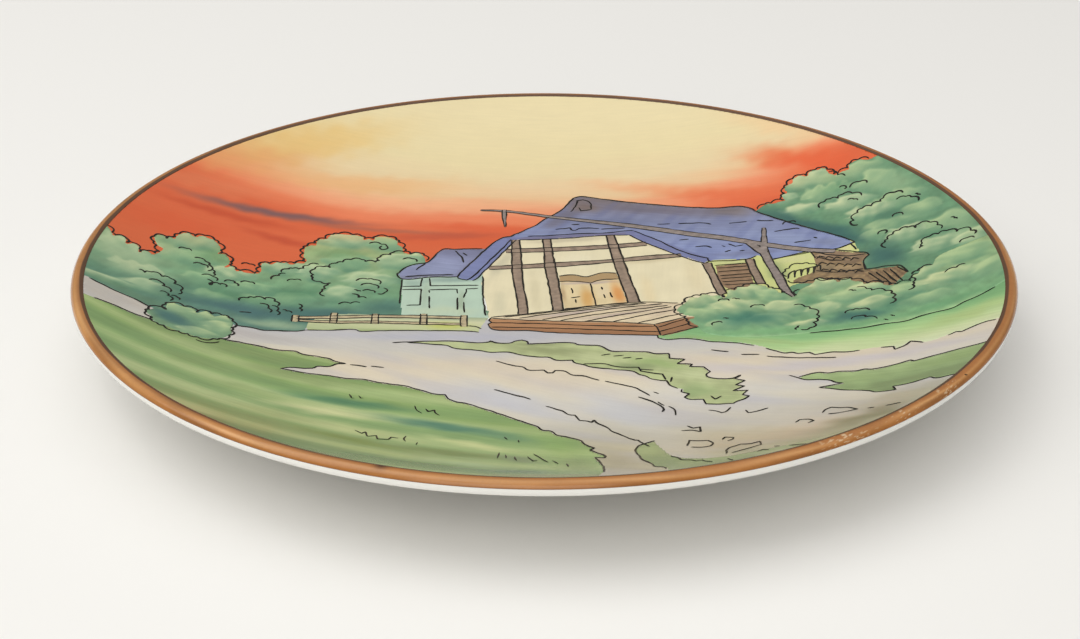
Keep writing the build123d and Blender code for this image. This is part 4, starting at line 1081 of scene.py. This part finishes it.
rightIsland = [
    (63.3, -54), (65, -56), (67, -58.3), (70.5, -59.5), (72.8, -61), (73.8, -63), (75.5, -64.5),
    (69.5, -65), (71.5, -66.5), (74.5, -69.3), (77.5, -71.5), (80.5, -74), (81.5, -75.8), (86, -77.5),
    (86, -74.5), (90, -75), (95, -74.3), (96, -76.5), (100, -77.5), (103, -78.6)]
rightIslandTop = [(112, -60), (108, -59.5), (102.5, -58.8), (94, -59), (93.3, -57.8), (90, -58.3),
                  (83.5, -58.3), (82, -57.3), (80, -57.5), (75.5, -55.8), (73, -55.8), (70.8, -54.5),
                  (65.5, -55.8)]
rightGrassLook = dict(pitch=0.6, lift=0.06, paint=rightGrassPaint, outline=rightIsland + [(108, -72)]
                      + rightIslandTop)
paintField("rightGrass", "right_grass_enamel", rightGrassLook, lawnFinish)


def frontGrassPaint(x, y):
    # green at the left, thinning out into the sandy path towards the right
    fade = np.clip((x - 42) / 34 + (y + 112) / 26 + 0.15 * softNoise(x, y, 8, 161), 0, 1)
    colour = mixIn(flat(x, (146, 160, 116)), (184, 178, 150), fade)
    return dabs(colour, x, y, [
        (27, -112, 4, 8, 12, (124, 142, 104), 0.7), (40, -119, 10, 3, 12, (128, 140, 104), 0.7),
        (24, -100, 3, 4, 0, (166, 180, 132), 0.6)], 162)


frontGrassLook = dict(pitch=0.6, lift=0.06, paint=frontGrassPaint, outline=[
    (26.5, -92.5), (22.5, -96), (21.5, -100), (22, -104), (23, -109.5), (24.5, -113), (25, -116.5),
    (27, -118.5), (27.3, -124), (50, -118), (78, -101), (64, -106), (50, -110), (38, -112), (31, -108),
    (28, -99)])
paintField("frontGrass", "front_grass_enamel", frontGrassLook, lawnFinish)
print("fields painted")

# posts, rails and poles as broad single strokes


def woodTone(tone, seed):
    # weathered wood: one tone with small uneven touches
    return lambda x, y: dappled(flat(x, tone), x, y, 3, 0.12, seed)


broadStroke = dict(spacing=0.5, wander=0.06, swell=0.04, tip=0.5, tipWidth=0.7, lift=0.1, height=0.05,
                   corner=40)
timberStrokes = [
    [(-8.7, 40, 2.3), (-8.3, 31, 2.7), (-8, 21, 3), (-7.2, 8, 2.7), (-6.2, -2, 2.7), (-5.8, -10.4, 2.9)],
    [(0.8, 40.5, 2.5), (1.3, 31.5, 2.5), (1.7, 23, 3.2), (2.8, 10, 3), (3.5, 0.5, 3), (4, -8, 3)],
    [(20.2, 43, 2.5), (20.9, 36.5, 2.8), (22.4, 23, 3.2), (23.9, 10.5, 3.2), (25.1, 1.5, 3.3),
     (25.6, -3.3, 3.3)], [(-11.5, 32.2, 2.6), (-0.5, 33.1, 2.7), (19.5, 35, 2.6), (31, 36.6, 2.6)],
    [(-16.3, 20.4, 2.2), (-6.5, 21.5, 2.5), (3.3, 22.8, 3), (20.5, 25.2, 1.9), (31, 26.9, 2.8),
     (41, 27.9, 2)], [(48, 22, 2.8), (49.3, 12.5, 2.2), (50.2, 5, 2.5), (51, 0.5, 2.5)],
    [(60.8, 23.5, 2.4), (61.5, 15, 2.5), (62.6, 6, 2.6)]]
strokePiece("houseTimbers", "timber_enamel", timberStrokes,
            dict(broadStroke, seed=200, paint=woodTone((150, 130, 112), 201)), woodFinish)

fenceStrokes = [
    [(-68.5, -17.2, 1.4), (-56.8, -15.4, 1.6), (-47.8, -14, 1.6), (-34.5, -13.2, 1.6), (-22.5, -13.2, 1.5)],
    [(-68, -19, 1.2), (-56.8, -18.7, 1.3), (-47.8, -17.7, 1.3), (-34.5, -17.4, 1.3),
     (-22.5, -17.4, 1.2)]] + [
    [(x, top, 1.8), (x + 0.3, bottom, 1.9)] for x, top, bottom in (
        (-68.8, -15.7, -20), (-58.4, -12.8, -19.3), (-47, -12.3, -18.8), (-33.6, -11.2, -18.4),
        (-22.4, -11.5, -18.9))]
strokePiece("gardenFence", "fence_enamel", fenceStrokes,
            dict(broadStroke, seed=210, paint=woodTone((188, 172, 138), 211)), woodFinish)

poleStrokes = [
    [(-20, 60.8, 0.6), (-12, 60.3, 1.1), (-5, 58.5, 1.3), (2, 56.4, 1.5), (15, 52.9, 2), (25, 50, 2.4),
     (35, 46.4, 2.7), (45, 42.3, 2.8), (55, 38.5, 2.8), (67.5, 31.8, 2.6), (80, 25.2, 2.4),
     (86, 22.6, 2.2)], [(-12.5, 61.3, 1.3), (-12.4, 56, 1.1), (-12, 49, 0.3)],
    [(67.2, 43.5, 1), (66.4, 35, 1.7), (65.6, 29, 2.6), (66, 23.5, 2.6), (66.8, 17.5, 2.4), (68, 10, 2.8),
     (68.8, 2.5, 2.6), (70.6, -3.5, 0.8)], [(61.6, 35, 2.2), (63.5, 31, 2.6), (65.6, 26.5, 2.6)]]
strokePiece("bareBranches", "pole_enamel", poleStrokes,
            dict(broadStroke, seed=220, lift=0.14, height=0.07, tipWidth=0.5,
                 paint=woodTone((140, 128, 122), 221)), woodFinish)
print("members painted")

# ink: the outlines, then the small strokes inside them
penStroke = dict(spacing=0.35, width=0.54, wander=0.09, swell=0.2, tip=0.9, tipWidth=0.4, lift=0.13,
                 height=0.06, corner=52)


def inkPaint(x, y):
    # black where the brush was full, browner where it ran dry
    return mixIn(flat(x, (20, 19, 16)), (56, 48, 36), 0.6 * np.clip(softNoise(x, y, 14, 301), 0, 1))


def inkPiece(name, strokes, seed, **change):
    # a group of pen strokes; change alters the pen for that group
    return strokePiece(name, "ink_lines", strokes, dict(penStroke, seed=seed, paint=inkPaint, **change),
                       inkFinish)


def scalloped(points, tuft=3.1, bulge=0.3):
    # the line is cut into tufts of leaves: each swells to its left in a parabola and meets the next in a cusp
    p = curveThrough(np.array(points, float), 0.4)
    along = np.concatenate([[0], np.cumsum(np.linalg.norm(np.diff(p, axis=0), axis=1))])
    count = max(2, round(along[-1] / tuft))
    cut = (np.arange(count + 1) + 0.26 * np.sin(np.arange(count + 1) * 2.4)
           * (np.arange(count + 1) % count > 0)) * along[-1] / count
    p = np.stack([np.interp(cut, along, p[:, k]) for k in (0, 1)], 1)
    run = np.diff(p, axis=0)
    left = np.stack([-run[:, 1], run[:, 0]], 1)
    t = np.array([0, 0.25, 0.5, 0.75])[:, None]
    bowed = p[:-1, None] + run[:, None] * t + left[:, None] * bulge * 4 * t * (1 - t)
    return np.vstack([bowed.reshape(-1, 2), p[-1:]])


leftInk = [roadTop[:6], roadTop[6:-1], roadBottom[:4], [(-84, -17.8), (-82, -17.3), (-80.8, -17.3)],
           [(-91.8, -41.3), (-90.5, -41.8), (-88, -41.5), (-86, -39.5)]]
leftTufts = [
    leftSkyline[1:], bushOutline + bushOutline[:1],
    [(-101, 11), (-99.8, 11.5), (-98, 10.5), (-96.8, 9), (-96, 7), (-96.3, 4.5)],
    [(-100.8, 7.3), (-100, 8.5), (-98, 8), (-96.5, 6.5)], [(-95.5, 6), (-94.5, 4), (-94.3, 2.5)],
    [(-97.5, 1.5), (-95, 2.3), (-93.5, 1), (-93, -0.5)],
    [(-95.5, -0.5), (-94.8, -3.5), (-94, -3.8), (-93.8, -1), (-92, -0.5), (-91.5, -3), (-91, -0.8),
     (-90, -3.3)], [(-90.8, 0), (-89, 2.3), (-88.3, 0), (-87.5, 1.5), (-86.8, -1.3)],
    [(-86.5, 1.3), (-83.8, 2.5), (-82.5, 1.5)],
    [(-113.5, -5.5), (-112, -7.5), (-111.5, -5.5), (-110, -4.5), (-108.3, -6.5), (-107, -5.5), (-105.3, -5),
     (-104, -6.5), (-102.8, -9), (-101.3, -10), (-101, -12), (-101.3, -14)],
    [(-110, -9.8), (-108.5, -9), (-106.5, -9.3), (-105.8, -11.5), (-104, -12.3), (-103.3, -14)],
    [(-106, -15.3), (-104.5, -14), (-103.5, -17), (-102.5, -19.5)],
    [(-102.8, -16), (-101, -16), (-100.5, -17.5)],
    [(-85.3, -10.5), (-84.5, -8.8), (-82.5, -7.5), (-80.8, -6.5), (-79.8, -6.8), (-78.5, -8), (-78.3, -6),
     (-77, -6), (-76.3, -7.5), (-74.8, -8.5), (-74.5, -10.8)], [(-79.5, -10.3), (-77, -12.5), (-76, -15.5)],
    [(-76, -10.8), (-74.5, -13), (-73.8, -16.5)],
    [(-72.8, -13), (-72, -15.3), (-71.5, -12.8), (-70, -14.5)], [(-69, -8.3), (-68.5, -10), (-67.8, -13)],
    [(-78.5, 6), (-76.5, 9), (-75, 11)],
    [(-76.3, 11.3), (-75.5, 13), (-73.5, 15), (-72.5, 13), (-71.8, 14.8), (-70.5, 14.3), (-70.3, 16),
     (-68.8, 18), (-66.3, 18.8)],
    [(-62.3, -2.3), (-63.3, -0.5), (-63.3, 0.8), (-62.5, 3), (-61, 3.3), (-62.5, 5), (-61, 6.5), (-62.5, 7),
     (-65, 7), (-65.8, 9), (-67, 10), (-66.9, 12.5), (-67.3, 15), (-66, 16.8), (-64.5, 17.5), (-62.3, 16.8),
     (-62.5, 19), (-60.5, 21), (-57.8, 21.8), (-56.8, 23.8), (-55, 24.3), (-53.8, 23.3), (-52.5, 21.5),
     (-51.5, 23), (-48.8, 21.8), (-48.8, 26), (-47.8, 27.5), (-45.8, 27.3), (-45.8, 29), (-43, 29.8),
     (-41.8, 30)],
    [(-52.8, 34.8), (-50.5, 35.3), (-48.5, 34.5), (-46.8, 33), (-47, 31), (-48.5, 30.5), (-48.8, 33.5)],
    [(-42, 24.8), (-41.5, 25.8), (-39.5, 25.8), (-37.8, 23.5)],
    [(-54.5, 9), (-52.5, 10), (-50, 10.5), (-47.8, 9), (-47.3, 7.3)],
    [(-52.8, 6), (-51, 7), (-50.5, 8), (-48.8, 6.5), (-47.8, 4.5)],
    [(-46, 5), (-45.3, 3.5), (-45.8, 1.5), (-47.5, 1)], [(-54.5, 3), (-52.5, 2)],
    [(-52, 2.5), (-49.5, 3), (-48.5, 1.5)], [(-54.8, 0.3), (-53.3, -2), (-50.5, -2.3)],
    [(-88, 13), (-86, 14), (-84, 13)], [(-106, 14), (-104.5, 15.5), (-102.5, 14.5)],
    [(-74, 6), (-72, 7.5), (-70, 7)], [(-58, -7), (-56, -5.5), (-54, -6.5), (-52, -5.5)]]
inkPiece("inkLeftTrees", leftInk + [scalloped(tuft) for tuft in leftTufts], 400)

bushEdge = rightBushLook["outline"]
rightTufts = [
    rightSkyline[1:-1],
    [(85, 50.5), (85.5, 52.5), (87.3, 54), (90, 54.5), (90.8, 52.5), (91, 54.5), (92.5, 55.3), (95, 54.8),
     (97, 53.5), (97.8, 52)],
    [(93.5, 51.5), (95, 51.5), (96.3, 50)], [(92, 59.5), (93, 60.5), (94.3, 59), (93.3, 58)],
    [(95, 58), (97, 59.8), (99.5, 59.8), (100.3, 58)], [(90, 69.3), (91.8, 67), (94.5, 65)],
    [(94.5, 36), (93, 35.5), (92.5, 37.5), (94, 39.5), (95, 40.5), (95.3, 43), (96.5, 44.8), (99.5, 44.8),
     (102, 44), (102.5, 45.5), (103.5, 47.5), (106, 48.8), (108, 48.3), (109.5, 47)],
    [(107, 44.5), (108.5, 45.5), (110.5, 44), (112, 42.5), (112.8, 40)], [(112.5, 44.5), (113.8, 42.8)],
    [(104.5, 35.5), (105.8, 37.3), (107.5, 35)],
    [(100, 18.5), (99.8, 21), (101, 23.5), (102.5, 22.5), (102.5, 24.5), (104, 26.3), (107, 27.5),
     (108.8, 26.5), (109, 24.5), (111, 27.8), (113, 26.8), (114.5, 25.5), (115.5, 22.5), (116, 20.5)],
    [(119.5, 25), (120.8, 23)], [(99, 27.5), (100, 29.5), (102, 28.8), (101, 27)],
    [(108.5, 13), (110.3, 12.3), (109.3, 14.5), (110.5, 17), (113, 18.5), (115, 18), (116.5, 18.8),
     (118.5, 17.5), (119.3, 15.5), (120.5, 16.8), (122.5, 15), (123.5, 11)], bushEdge[1:33],
    [(70, -9), (72, -9), (73.3, -11), (75, -13.5), (75.5, -16.5), (75, -19), (73.5, -20.5), (74.5, -22),
     (73.3, -24.5), (70, -25)], bushEdge[34:51], [(86, -3.5), (88, -4.5)],
    [(88.5, -2.5), (90.3, -2.5), (91, -4.5), (93, -7), (94.5, -6.5), (96, -8.5), (96.9, -10.5), (96.5, -14),
     (95.3, -16.8)], [(103.5, -3.5), (103.3, -7), (101.3, -10.8)], bushEdge[49:54],
    [(83, -18), (85, -16.5), (88, -17), (89.5, -18.5)],
    [(84, -22.5), (84.5, -20.8), (86.5, -21), (88, -22.5), (90, -23.5), (90.5, -25)],
    [(94, -24.3), (95, -25.5)], [(92, -26), (93, -27.3)], [(49.3, -4), (50.8, -2.5), (52.3, -4)],
    [(53.3, -2.5), (55.5, -3.3)], [(49.8, -15.3), (51.3, -15.5)],
    [(46.5, -19.5), (47.8, -17.3), (49.3, -18)], [(68.8, -25), (70, -22.5)],
    [(73, 44), (75, 45.5), (77, 44.5)], [(119, 9), (121, 10.5), (123, 9)],
    [(112, -6), (114, -4.5), (116.5, -5.5), (118, -4.5)], [(58, -9), (60, -7.5), (62, -8.5)],
    [(70.3, 10), (70.5, 14), (73, 16.5), (77, 18), (79.5, 14)],
    [(88, 4.5), (84, 5.5), (80, 7.3), (77, 6.5), (74.5, 6), (72, 5.5), (70.3, 7.5)]]
rightInk = [
    bushEdge[58:69], pileLook["outline"][1:11], [(93, 5.5), (96, -3)], [(95, 5), (98, -4.5)],
    [(97, 5), (99.3, -4)], [(99, 5), (101, -4)], [(101, 5.5), (103, 0.5)],
    [(79, 25), (84, 21), (90, 18), (94, 17.5)], [(80, 21), (84, 17.5), (88, 16)],
    [(79, 12), (84, 9.5), (92, 8.5)]]
# fern-like leaf loops against the wall, then short hooked strokes over the brush heap
ferns = [[(70.5 + 1.9 * k, 8.5 + 0.5 * k), (71.6 + 1.9 * k, 12.5 + 0.6 * k), (73 + 1.9 * k, 13.5 + 0.4 * k),
          (72.6 + 1.9 * k, 10 + 0.5 * k)] for k in range(5)]
hooks = [[(80 + 2.3 * k, 19.5 - 1.1 * k - 4.2 * row), (81.2 + 2.3 * k, 21 - 1.1 * k - 4.2 * row),
          (82.6 + 2.3 * k, 19.6 - 1.1 * k - 4.2 * row)] for row in range(3) for k in range(5)]
inkPiece("inkRightTrees", rightInk + ferns + hooks + [scalloped(tuft) for tuft in rightTufts], 500)

roofEdge = roofLook["outline"]
roofInk = [
    [(-25.3, 13.8), (-25, 15)] + roofEdge[1:16], roofEdge[15:25] + [(65, 56), (65.8, 54.5)],
    roofEdge[25:36], [(63, 25.5), (61.5, 24), (49, 23), (48.5, 25)],
    [(-5, 42.5), (0, 43), (10, 44.3), (20, 44.8), (26, 46), (27.5, 45.8)],
    [(-8, 40), (-2, 40.3), (7.5, 41.3), (17.5, 42.8), (26, 43)],
    [(27.5, 45.8), (35, 38.3), (40, 32), (45, 27.5), (49, 25)], roofEdge[44:38:-1] + [(48.8, 23)],
    [(-25.3, 13.8), (-25, 13), (-22.5, 11.8), (-21.5, 13), (-19, 18.5), (-15.8, 26.5), (-12.5, 34),
     (-10.8, 38.5), (-10, 40.3)],
    [(-20.8, 11.5), (-20, 12.3), (-17.5, 18.5), (-16.5, 20.5), (-13, 29.5), (-10.5, 35.5), (-8.5, 40)],
    [(8.3, 60), (10, 64), (10.5, 68), (12.3, 68.5), (14.3, 67), (14.8, 61.5)],
    [(11, 63), (11.5, 60.5), (14.8, 61.5)], [(8.5, 50.8), (11, 51)],
    [(3.5, 47.5), (8, 48.5), (8.5, 47), (9.5, 46.8), (11, 48), (17, 48)], [(17.5, 47.5), (25, 48)],
    [(35, 50), (39, 50)], [(41.5, 50), (50, 49.5), (51.5, 48.5)], [(57, 48.5), (62.5, 48.5)],
    [(65.5, 48.8), (67.5, 48), (70.5, 47.5)], [(70, 40.3), (76.5, 40.5), (77.5, 40)],
    [(75, 31.8), (80, 31.8)], [(81, 33.5), (82, 32.5)], [(41, 38.5), (44, 38.8)],
    [(45.5, 33.3), (49, 33.5), (50.5, 32.5)], [(53.5, 33.5), (54.5, 32.5)],
    [(55.5, 34.5), (57.5, 32.5), (60, 33.3)], [(54, 29), (56, 30)], [(58.5, 29.3), (60, 29.5)],
    annexRoofLook["outline"][17:7:-1],
    [(-42.5, 15.5), (-42.8, 15), (-42, 12), (-40.5, 11.3), (-34, 13), (-27.5, 13.8), (-25, 14)],
    [(-40.5, 13), (-34, 14.6), (-26.5, 15.3)], [(-26.8, 31.8), (-25.8, 29.8), (-24.5, 27.5), (-23.9, 23.8)],
    [(-24.3, 30.5), (-23, 28.5)], [(-37.5, 17.8), (-37, 19.5), (-35, 22.3)]]
inkPiece("inkRoofs", roofInk, 600)


def sidesOf(stroke):
    # the two long edges of a broad stroke, given as (x, y, width)
    p = np.array(stroke, float)
    run = np.gradient(p[:, :2], axis=0)
    run /= np.linalg.norm(run, axis=1, keepdims=True)
    out = np.stack([-run[:, 1], run[:, 0]], 1) * p[:, 2:] / 2
    return [(p[:, :2] + out).tolist(), (p[:, :2] - out).tolist()]


houseInk = [
    side for stroke in timberStrokes for side in sidesOf(stroke)] + [
    [(-41.3, 11), (-40.8, -5)], [(-35.5, 12.5), (-35.6, 7), (-40.8, 6.3)],
    [(-33.3, 12.5), (-32.8, 7.5), (-19, 8.5)], [(-40.8, 4.3), (-35.3, 5), (-35.1, -5.5), (-38.8, -6)],
    [(-33, 4.5), (-32.8, 2.8)], [(-32.8, 0.5), (-32.3, -7.5)], [(-33, 4.8), (-25, 5.5), (-24.8, 2.8)],
    [(-24.6, 0), (-24.4, -8)], [(-19, 6.5), (-22.3, 5.8), (-22.5, 3.5), (-23, 0)],
    [(-22.8, -2.8), (-22.3, -9.8)], [(-17.8, 14.5), (-17.5, 2.5), (-17, -4.5), (-16.3, -11.5)],
    [(4.3, 15), (6.5, 15.8), (9, 15.8), (12.5, 14.5), (14, 15.3), (16.5, 17), (21.3, 16.8)],
    [(4.5, 11.3), (7, 11.5), (10, 11.3), (13.5, 10.3), (15.5, 11.8), (18, 12.5), (21.8, 12.8)],
    [(5.8, -6.8), (14.8, -4.8), (23.8, -3.5)], [(13.5, 10), (14, 3), (14.8, -5)], [(7.9, 7), (8.3, 3.4)],
    [(7.6, 0.4), (10.4, 1.2)], [(8.9, -0.6), (9.2, -3)], [(16.6, 7.6), (16.9, 5.6)],
    [(17.1, 2.6), (17.4, 0)], [(19, 4), (19.5, 0.4)],
    [(-14.8, -12.5), (-4.5, -10), (3, -8), (13, -5.5), (21.5, -3.5), (28.5, -3), (38, -4.3)],
    [(30.5, -17.8), (20.5, -15.8), (3, -14.8), (-14.5, -13.3)], [(-11.3, -12.3), (13, -6.3), (28.5, -3.3)],
    [(-7, -13), (2, -10), (19, -6), (29, -3.8)], [(-0.5, -13.8), (6, -11.3), (21.5, -6.5), (33.5, -4.3)],
    [(4.5, -14.5), (12, -11.5), (35, -5.5)], [(11, -15.3), (21, -11.3), (36, -6.5)],
    [(19, -15.5), (28, -11.5), (37, -8.5)], [(26, -16.5), (34, -13), (39, -11)],
    deckLook["outline"][20:9:-1], [(-14.5, -16), (-0.5, -16.5), (13, -17.8), (30.5, -19)],
    [(-14.5, -18.8), (0, -19.3), (13, -20.3), (31.3, -22.5)],
    [(30.5, -17.8), (31, -19.5), (31.5, -22), (32, -24.8)], [(30.5, -17.8), (39.5, -13.5)],
    [(32.3, -25), (42.5, -20)], [(31.5, -19.5), (39, -15)], [(31.8, -22.3), (40.5, -17.5)],
    [(50.3, 20), (60, 20.8)], [(50.6, 18.2), (60, 18.8)], [(51, 15.8), (60.2, 16.3)],
    [(51.2, 13), (60.4, 13.6)], [(51.4, 11), (60.6, 11.6)], [(51.6, 8.8), (60.8, 9.2)],
    [(52, 6.6), (60.8, 6.8)], [(67.5, 22.5), (79, 24.5), (79.8, 20)],
    [(86, 23.8), (91, 25.5), (91.8, 21.3)]]
inkPiece("inkHouse", houseInk, 700, width=0.5)

fenceInk = [side for stroke in fenceStrokes + poleStrokes for side in sidesOf(stroke)] + [
    leftVergeLook["outline"][12:4:-1], [(-21, -18.3), (-18.5, -19), (-17.3, -20)]]
inkPiece("inkFence", fenceInk, 800, width=0.46)

groundInk = [
    roadBottom[5:-1], rightRoadEdge[:9], rightRoadEdge[9:19], rightRoadEdge[19:26], rightRoadEdge[27:-1],
    [(44.8, -35), (49.3, -36.5)], [(52.5, -38.5), (57.3, -39)],
    [(59, -40.5), (63.5, -42), (70, -44), (76.5, -46)], [(-51, -45), (-46.5, -45.8)],
    [(-45.5, -45.4), (-42, -46)], islandTop, islandBottom,
    [(10.5, -42), (16.5, -42.3), (18, -43.3), (20.5, -44.3), (25, -44.5), (25.5, -47), (29, -48.5),
     (31, -49), (31.5, -52.5)], [(25, -45.8), (28.8, -46.5)], [(33.3, -51), (32.8, -54)],
    [(15.3, -36.8), (17.8, -36)], [(18.5, -37.3), (21.3, -36.9)], [(21, -38.9), (23.3, -38.3)],
    [(24.3, -39.5), (26.3, -39)], [(42.3, -63.5), (43.3, -65.8), (45, -64)], rightIsland,
    rightIslandTop[::-1], frontGrassLook["outline"][:4],
    [(21.9, -103.5), (23, -109.5), (24.5, -113), (25, -116.5), (27, -118.5), (27.3, -120.3)],
    [(29.3, -106.8), (31, -109.5), (31.5, -111.5), (33.8, -112.8), (34.5, -114.3), (36, -113.8),
     (36.5, -115.5), (38, -117)], [(41.5, -115), (42.3, -118.3)],
    [(-12.8, -40.4), (-7.5, -43.3), (-5.5, -44), (-4.3, -45.5), (-2, -46), (0, -45.8), (1, -47.5),
     (2.3, -47.5), (3, -46), (5.5, -46.5), (7.5, -48.8), (10.5, -49.5), (14.3, -52.3)],
    [(15.8, -52.8), (20, -55), (23.5, -57), (25, -59), (27, -61.8)], [(28, -59.8), (29.3, -60.8)],
    [(24, -62.5), (27, -65), (29, -67.8), (30, -70.5), (29.5, -72.3)], [(28.8, -65.8), (30.3, -68.3)],
    [(31.4, -68.8), (32.5, -71), (32.8, -75)], [(-12.8, -57.8), (-9, -60), (-3.3, -63.5)],
    [(0.5, -67.5), (3, -69.3), (4.5, -70.3), (6.3, -72.8), (7.8, -73.1), (8.8, -76.5), (10.8, -77),
     (11.8, -77.8), (12.4, -76.5), (13.3, -78.8), (15.3, -81), (16.5, -84), (19, -87.5), (21.8, -91.5),
     (22.5, -91.5), (23.8, -94.5), (25, -97)],
    [(41, -72.8), (43, -74), (44, -75.3), (45, -74.8), (46.5, -72)],
    [(50, -74.8), (50.5, -77), (53, -76.3), (55.5, -75)],
    [(35, -82.8), (36.3, -84.8), (38, -84.3), (37.8, -87.8), (36, -86.3), (33.3, -86)],
    [(33.8, -98.5), (34.5, -94), (36, -94.8), (39, -95.5), (39.8, -98), (39, -100.5), (37, -101),
     (34.5, -100)], [(42.3, -95.8), (43, -94), (45, -95), (44.5, -96.5), (43.3, -97.3)],
    [(41.8, -109.5), (42.8, -104.5), (46, -101.8), (48, -102.5), (50.3, -101.5), (50.3, -104.5),
     (47.5, -106.5), (43, -109.3)], [(48.5, -111.5), (50, -110), (51.3, -111.5)],
    [(60.3, -89), (61.5, -87.3), (63.5, -88), (64.5, -89.8), (63, -91)],
    [(67.3, -84.5), (68.3, -82.5), (70, -81.4), (72, -83), (73.5, -83.8), (75.3, -86.8), (70.8, -87),
     (68.5, -86.3)], [(77.5, -87.8), (79, -88.3)], [(81.5, -89), (85, -89.5)], [(52.8, -108.3), (54, -109)],
    [(56, -110), (60.5, -112)]]
inkPiece("inkGround", groundInk, 900, width=0.5)

grassInk = [
    [(-49.3, -63.9), (-48.5, -66.3), (-47.8, -66.3)], [(-47, -64.5), (-46.3, -66), (-45.6, -65.8)],
    [(-32.5, -69), (-31.5, -72), (-30.4, -73.6)],
    [(-29.6, -70.5), (-28.9, -72.3), (-27.3, -71), (-26.9, -73), (-25.9, -74.5)],
    [(-45.3, -89.3), (-43.5, -91.5), (-42.8, -90), (-42, -93.3), (-40, -92), (-39.5, -94.8), (-37, -94.3),
     (-36.5, -92.3), (-34.8, -92.8)], [(-33, -90.5), (-33.4, -93), (-32.8, -94.8)],
    [(-30, -95), (-30.1, -97)], [(-9.5, -88), (-8.9, -89.8)], [(-6.1, -90), (-5.9, -91.8)],
    [(-10.5, -100.3), (-10.8, -105.5)], [(-8.9, -102), (-8.8, -105)], [(-6.8, -103.5), (-6.4, -107)],
    [(-3.8, -103.3), (-2.5, -107.3), (-1.5, -106.8)], [(-2.3, -101), (1, -108.5)], [(2, -107), (3.3, -110)],
    [(5.3, -110), (5.5, -113)]]
inkPiece("inkGrass", grassInk, 1000, width=0.46, tip=2.2)
print("ink drawn")

# table, light and camera
tableLook = dict(half=4, tone=(0.86, 0.85, 0.83, 1), rough=0.9)  # half its width in metres
half = tableLook["half"]
floorMesh = bpy.data.meshes.new("tableTop")
floorMesh.from_pydata([(-half, -half, 0), (half, -half, 0), (half, half, 0), (-half, half, 0)], [],
                      [(0, 1, 2, 3)])
floor = bpy.data.objects.new("tableTop", floorMesh)
bpy.context.scene.collection.objects.link(floor)
floorFinish = bpy.data.materials.new("tablePaper")
floorFinish.use_nodes = True
paper = floorFinish.node_tree.nodes["Principled BSDF"]
paper.inputs["Base Color"].default_value = tableLook["tone"]
paper.inputs["Roughness"].default_value = tableLook["rough"]
floorMesh.materials.append(floorFinish)

# the room is bright overhead and dim near the horizon: strength is the cube of a ray's height,
# times overhead, plus horizon
roomLook = dict(overhead=1.25, horizon=0.17, tone=(1.0, 0.99, 0.965, 1))
world = bpy.data.worlds.new("studio")
world.use_nodes = True
worldNodes, worldLinks = world.node_tree.nodes, world.node_tree.links
ray, height = worldNodes.new("ShaderNodeTexCoord"), worldNodes.new("ShaderNodeSeparateXYZ")
cube, scaled = worldNodes.new("ShaderNodeMath"), worldNodes.new("ShaderNodeMath")
cube.operation = "POWER"
scaled.operation = "MULTIPLY_ADD"
cube.inputs[1].default_value = 3
scaled.inputs[1].default_value = roomLook["overhead"]
scaled.inputs[2].default_value = roomLook["horizon"]
worldLinks.new(ray.outputs["Generated"], height.inputs[0])
worldLinks.new(height.outputs["Z"], cube.inputs[0])
worldLinks.new(cube.outputs[0], scaled.inputs[0])
worldLinks.new(scaled.outputs[0], worldNodes["Background"].inputs["Strength"])
worldNodes["Background"].inputs["Color"].default_value = roomLook["tone"]
bpy.context.scene.world = world
print("table and room ready")

# soft lamps: place and size in metres, power in watts
lamps = [dict(name="ceilingLamp", place=(-0.95, -0.25, 1.3), size=1.5, power=10.2, tone=(1, 0.995, 0.97)),
         dict(name="nearLamp", place=(-0.2, -1.5, 0.8), size=1.2, power=8.2, tone=(1, 0.99, 0.96))]
for lamp in lamps:
    light = bpy.data.lights.new(lamp["name"], "AREA")
    light.energy, light.size, light.color = lamp["power"], lamp["size"], lamp["tone"]
    holder = bpy.data.objects.new(lamp["name"], light)
    holder.location = lamp["place"]
    holder.rotation_euler = (Vector((0, 0, 0.02)) - holder.location).to_track_quat("-Z", "Y").to_euler()
    bpy.context.scene.collection.objects.link(holder)

view = dict(distance=520.0, tilt=23.734, lens=61.56, yaw=0.123, drop=2.343)  # millimetres and degrees
tilt = radians(view["tilt"])
rimCentre = Vector((0, 0, (lipZ + lipRadius) * mm))
ahead, up = Vector((0, cos(tilt), -sin(tilt))), Vector((0, sin(tilt), cos(tilt)))
look = (ahead - Vector((1, 0, 0)) * sin(radians(view["yaw"])) - up
        * sin(radians(view["drop"]))).normalized()
rightward = look.cross(Vector((0, 0, 1))).normalized()
camera = bpy.data.objects.new("camera", bpy.data.cameras.new("camera"))
camera.data.lens, camera.data.sensor_width = view["lens"], 36
upward = rightward.cross(look)
aimed = Matrix((rightward, upward, -look)).transposed().to_4x4()
camera.matrix_world = Matrix.Translation(rimCentre - ahead * view["distance"] * mm) @ aimed
bpy.context.scene.collection.objects.link(camera)
bpy.context.scene.camera = camera
bpy.context.scene.view_settings.view_transform = "Standard"
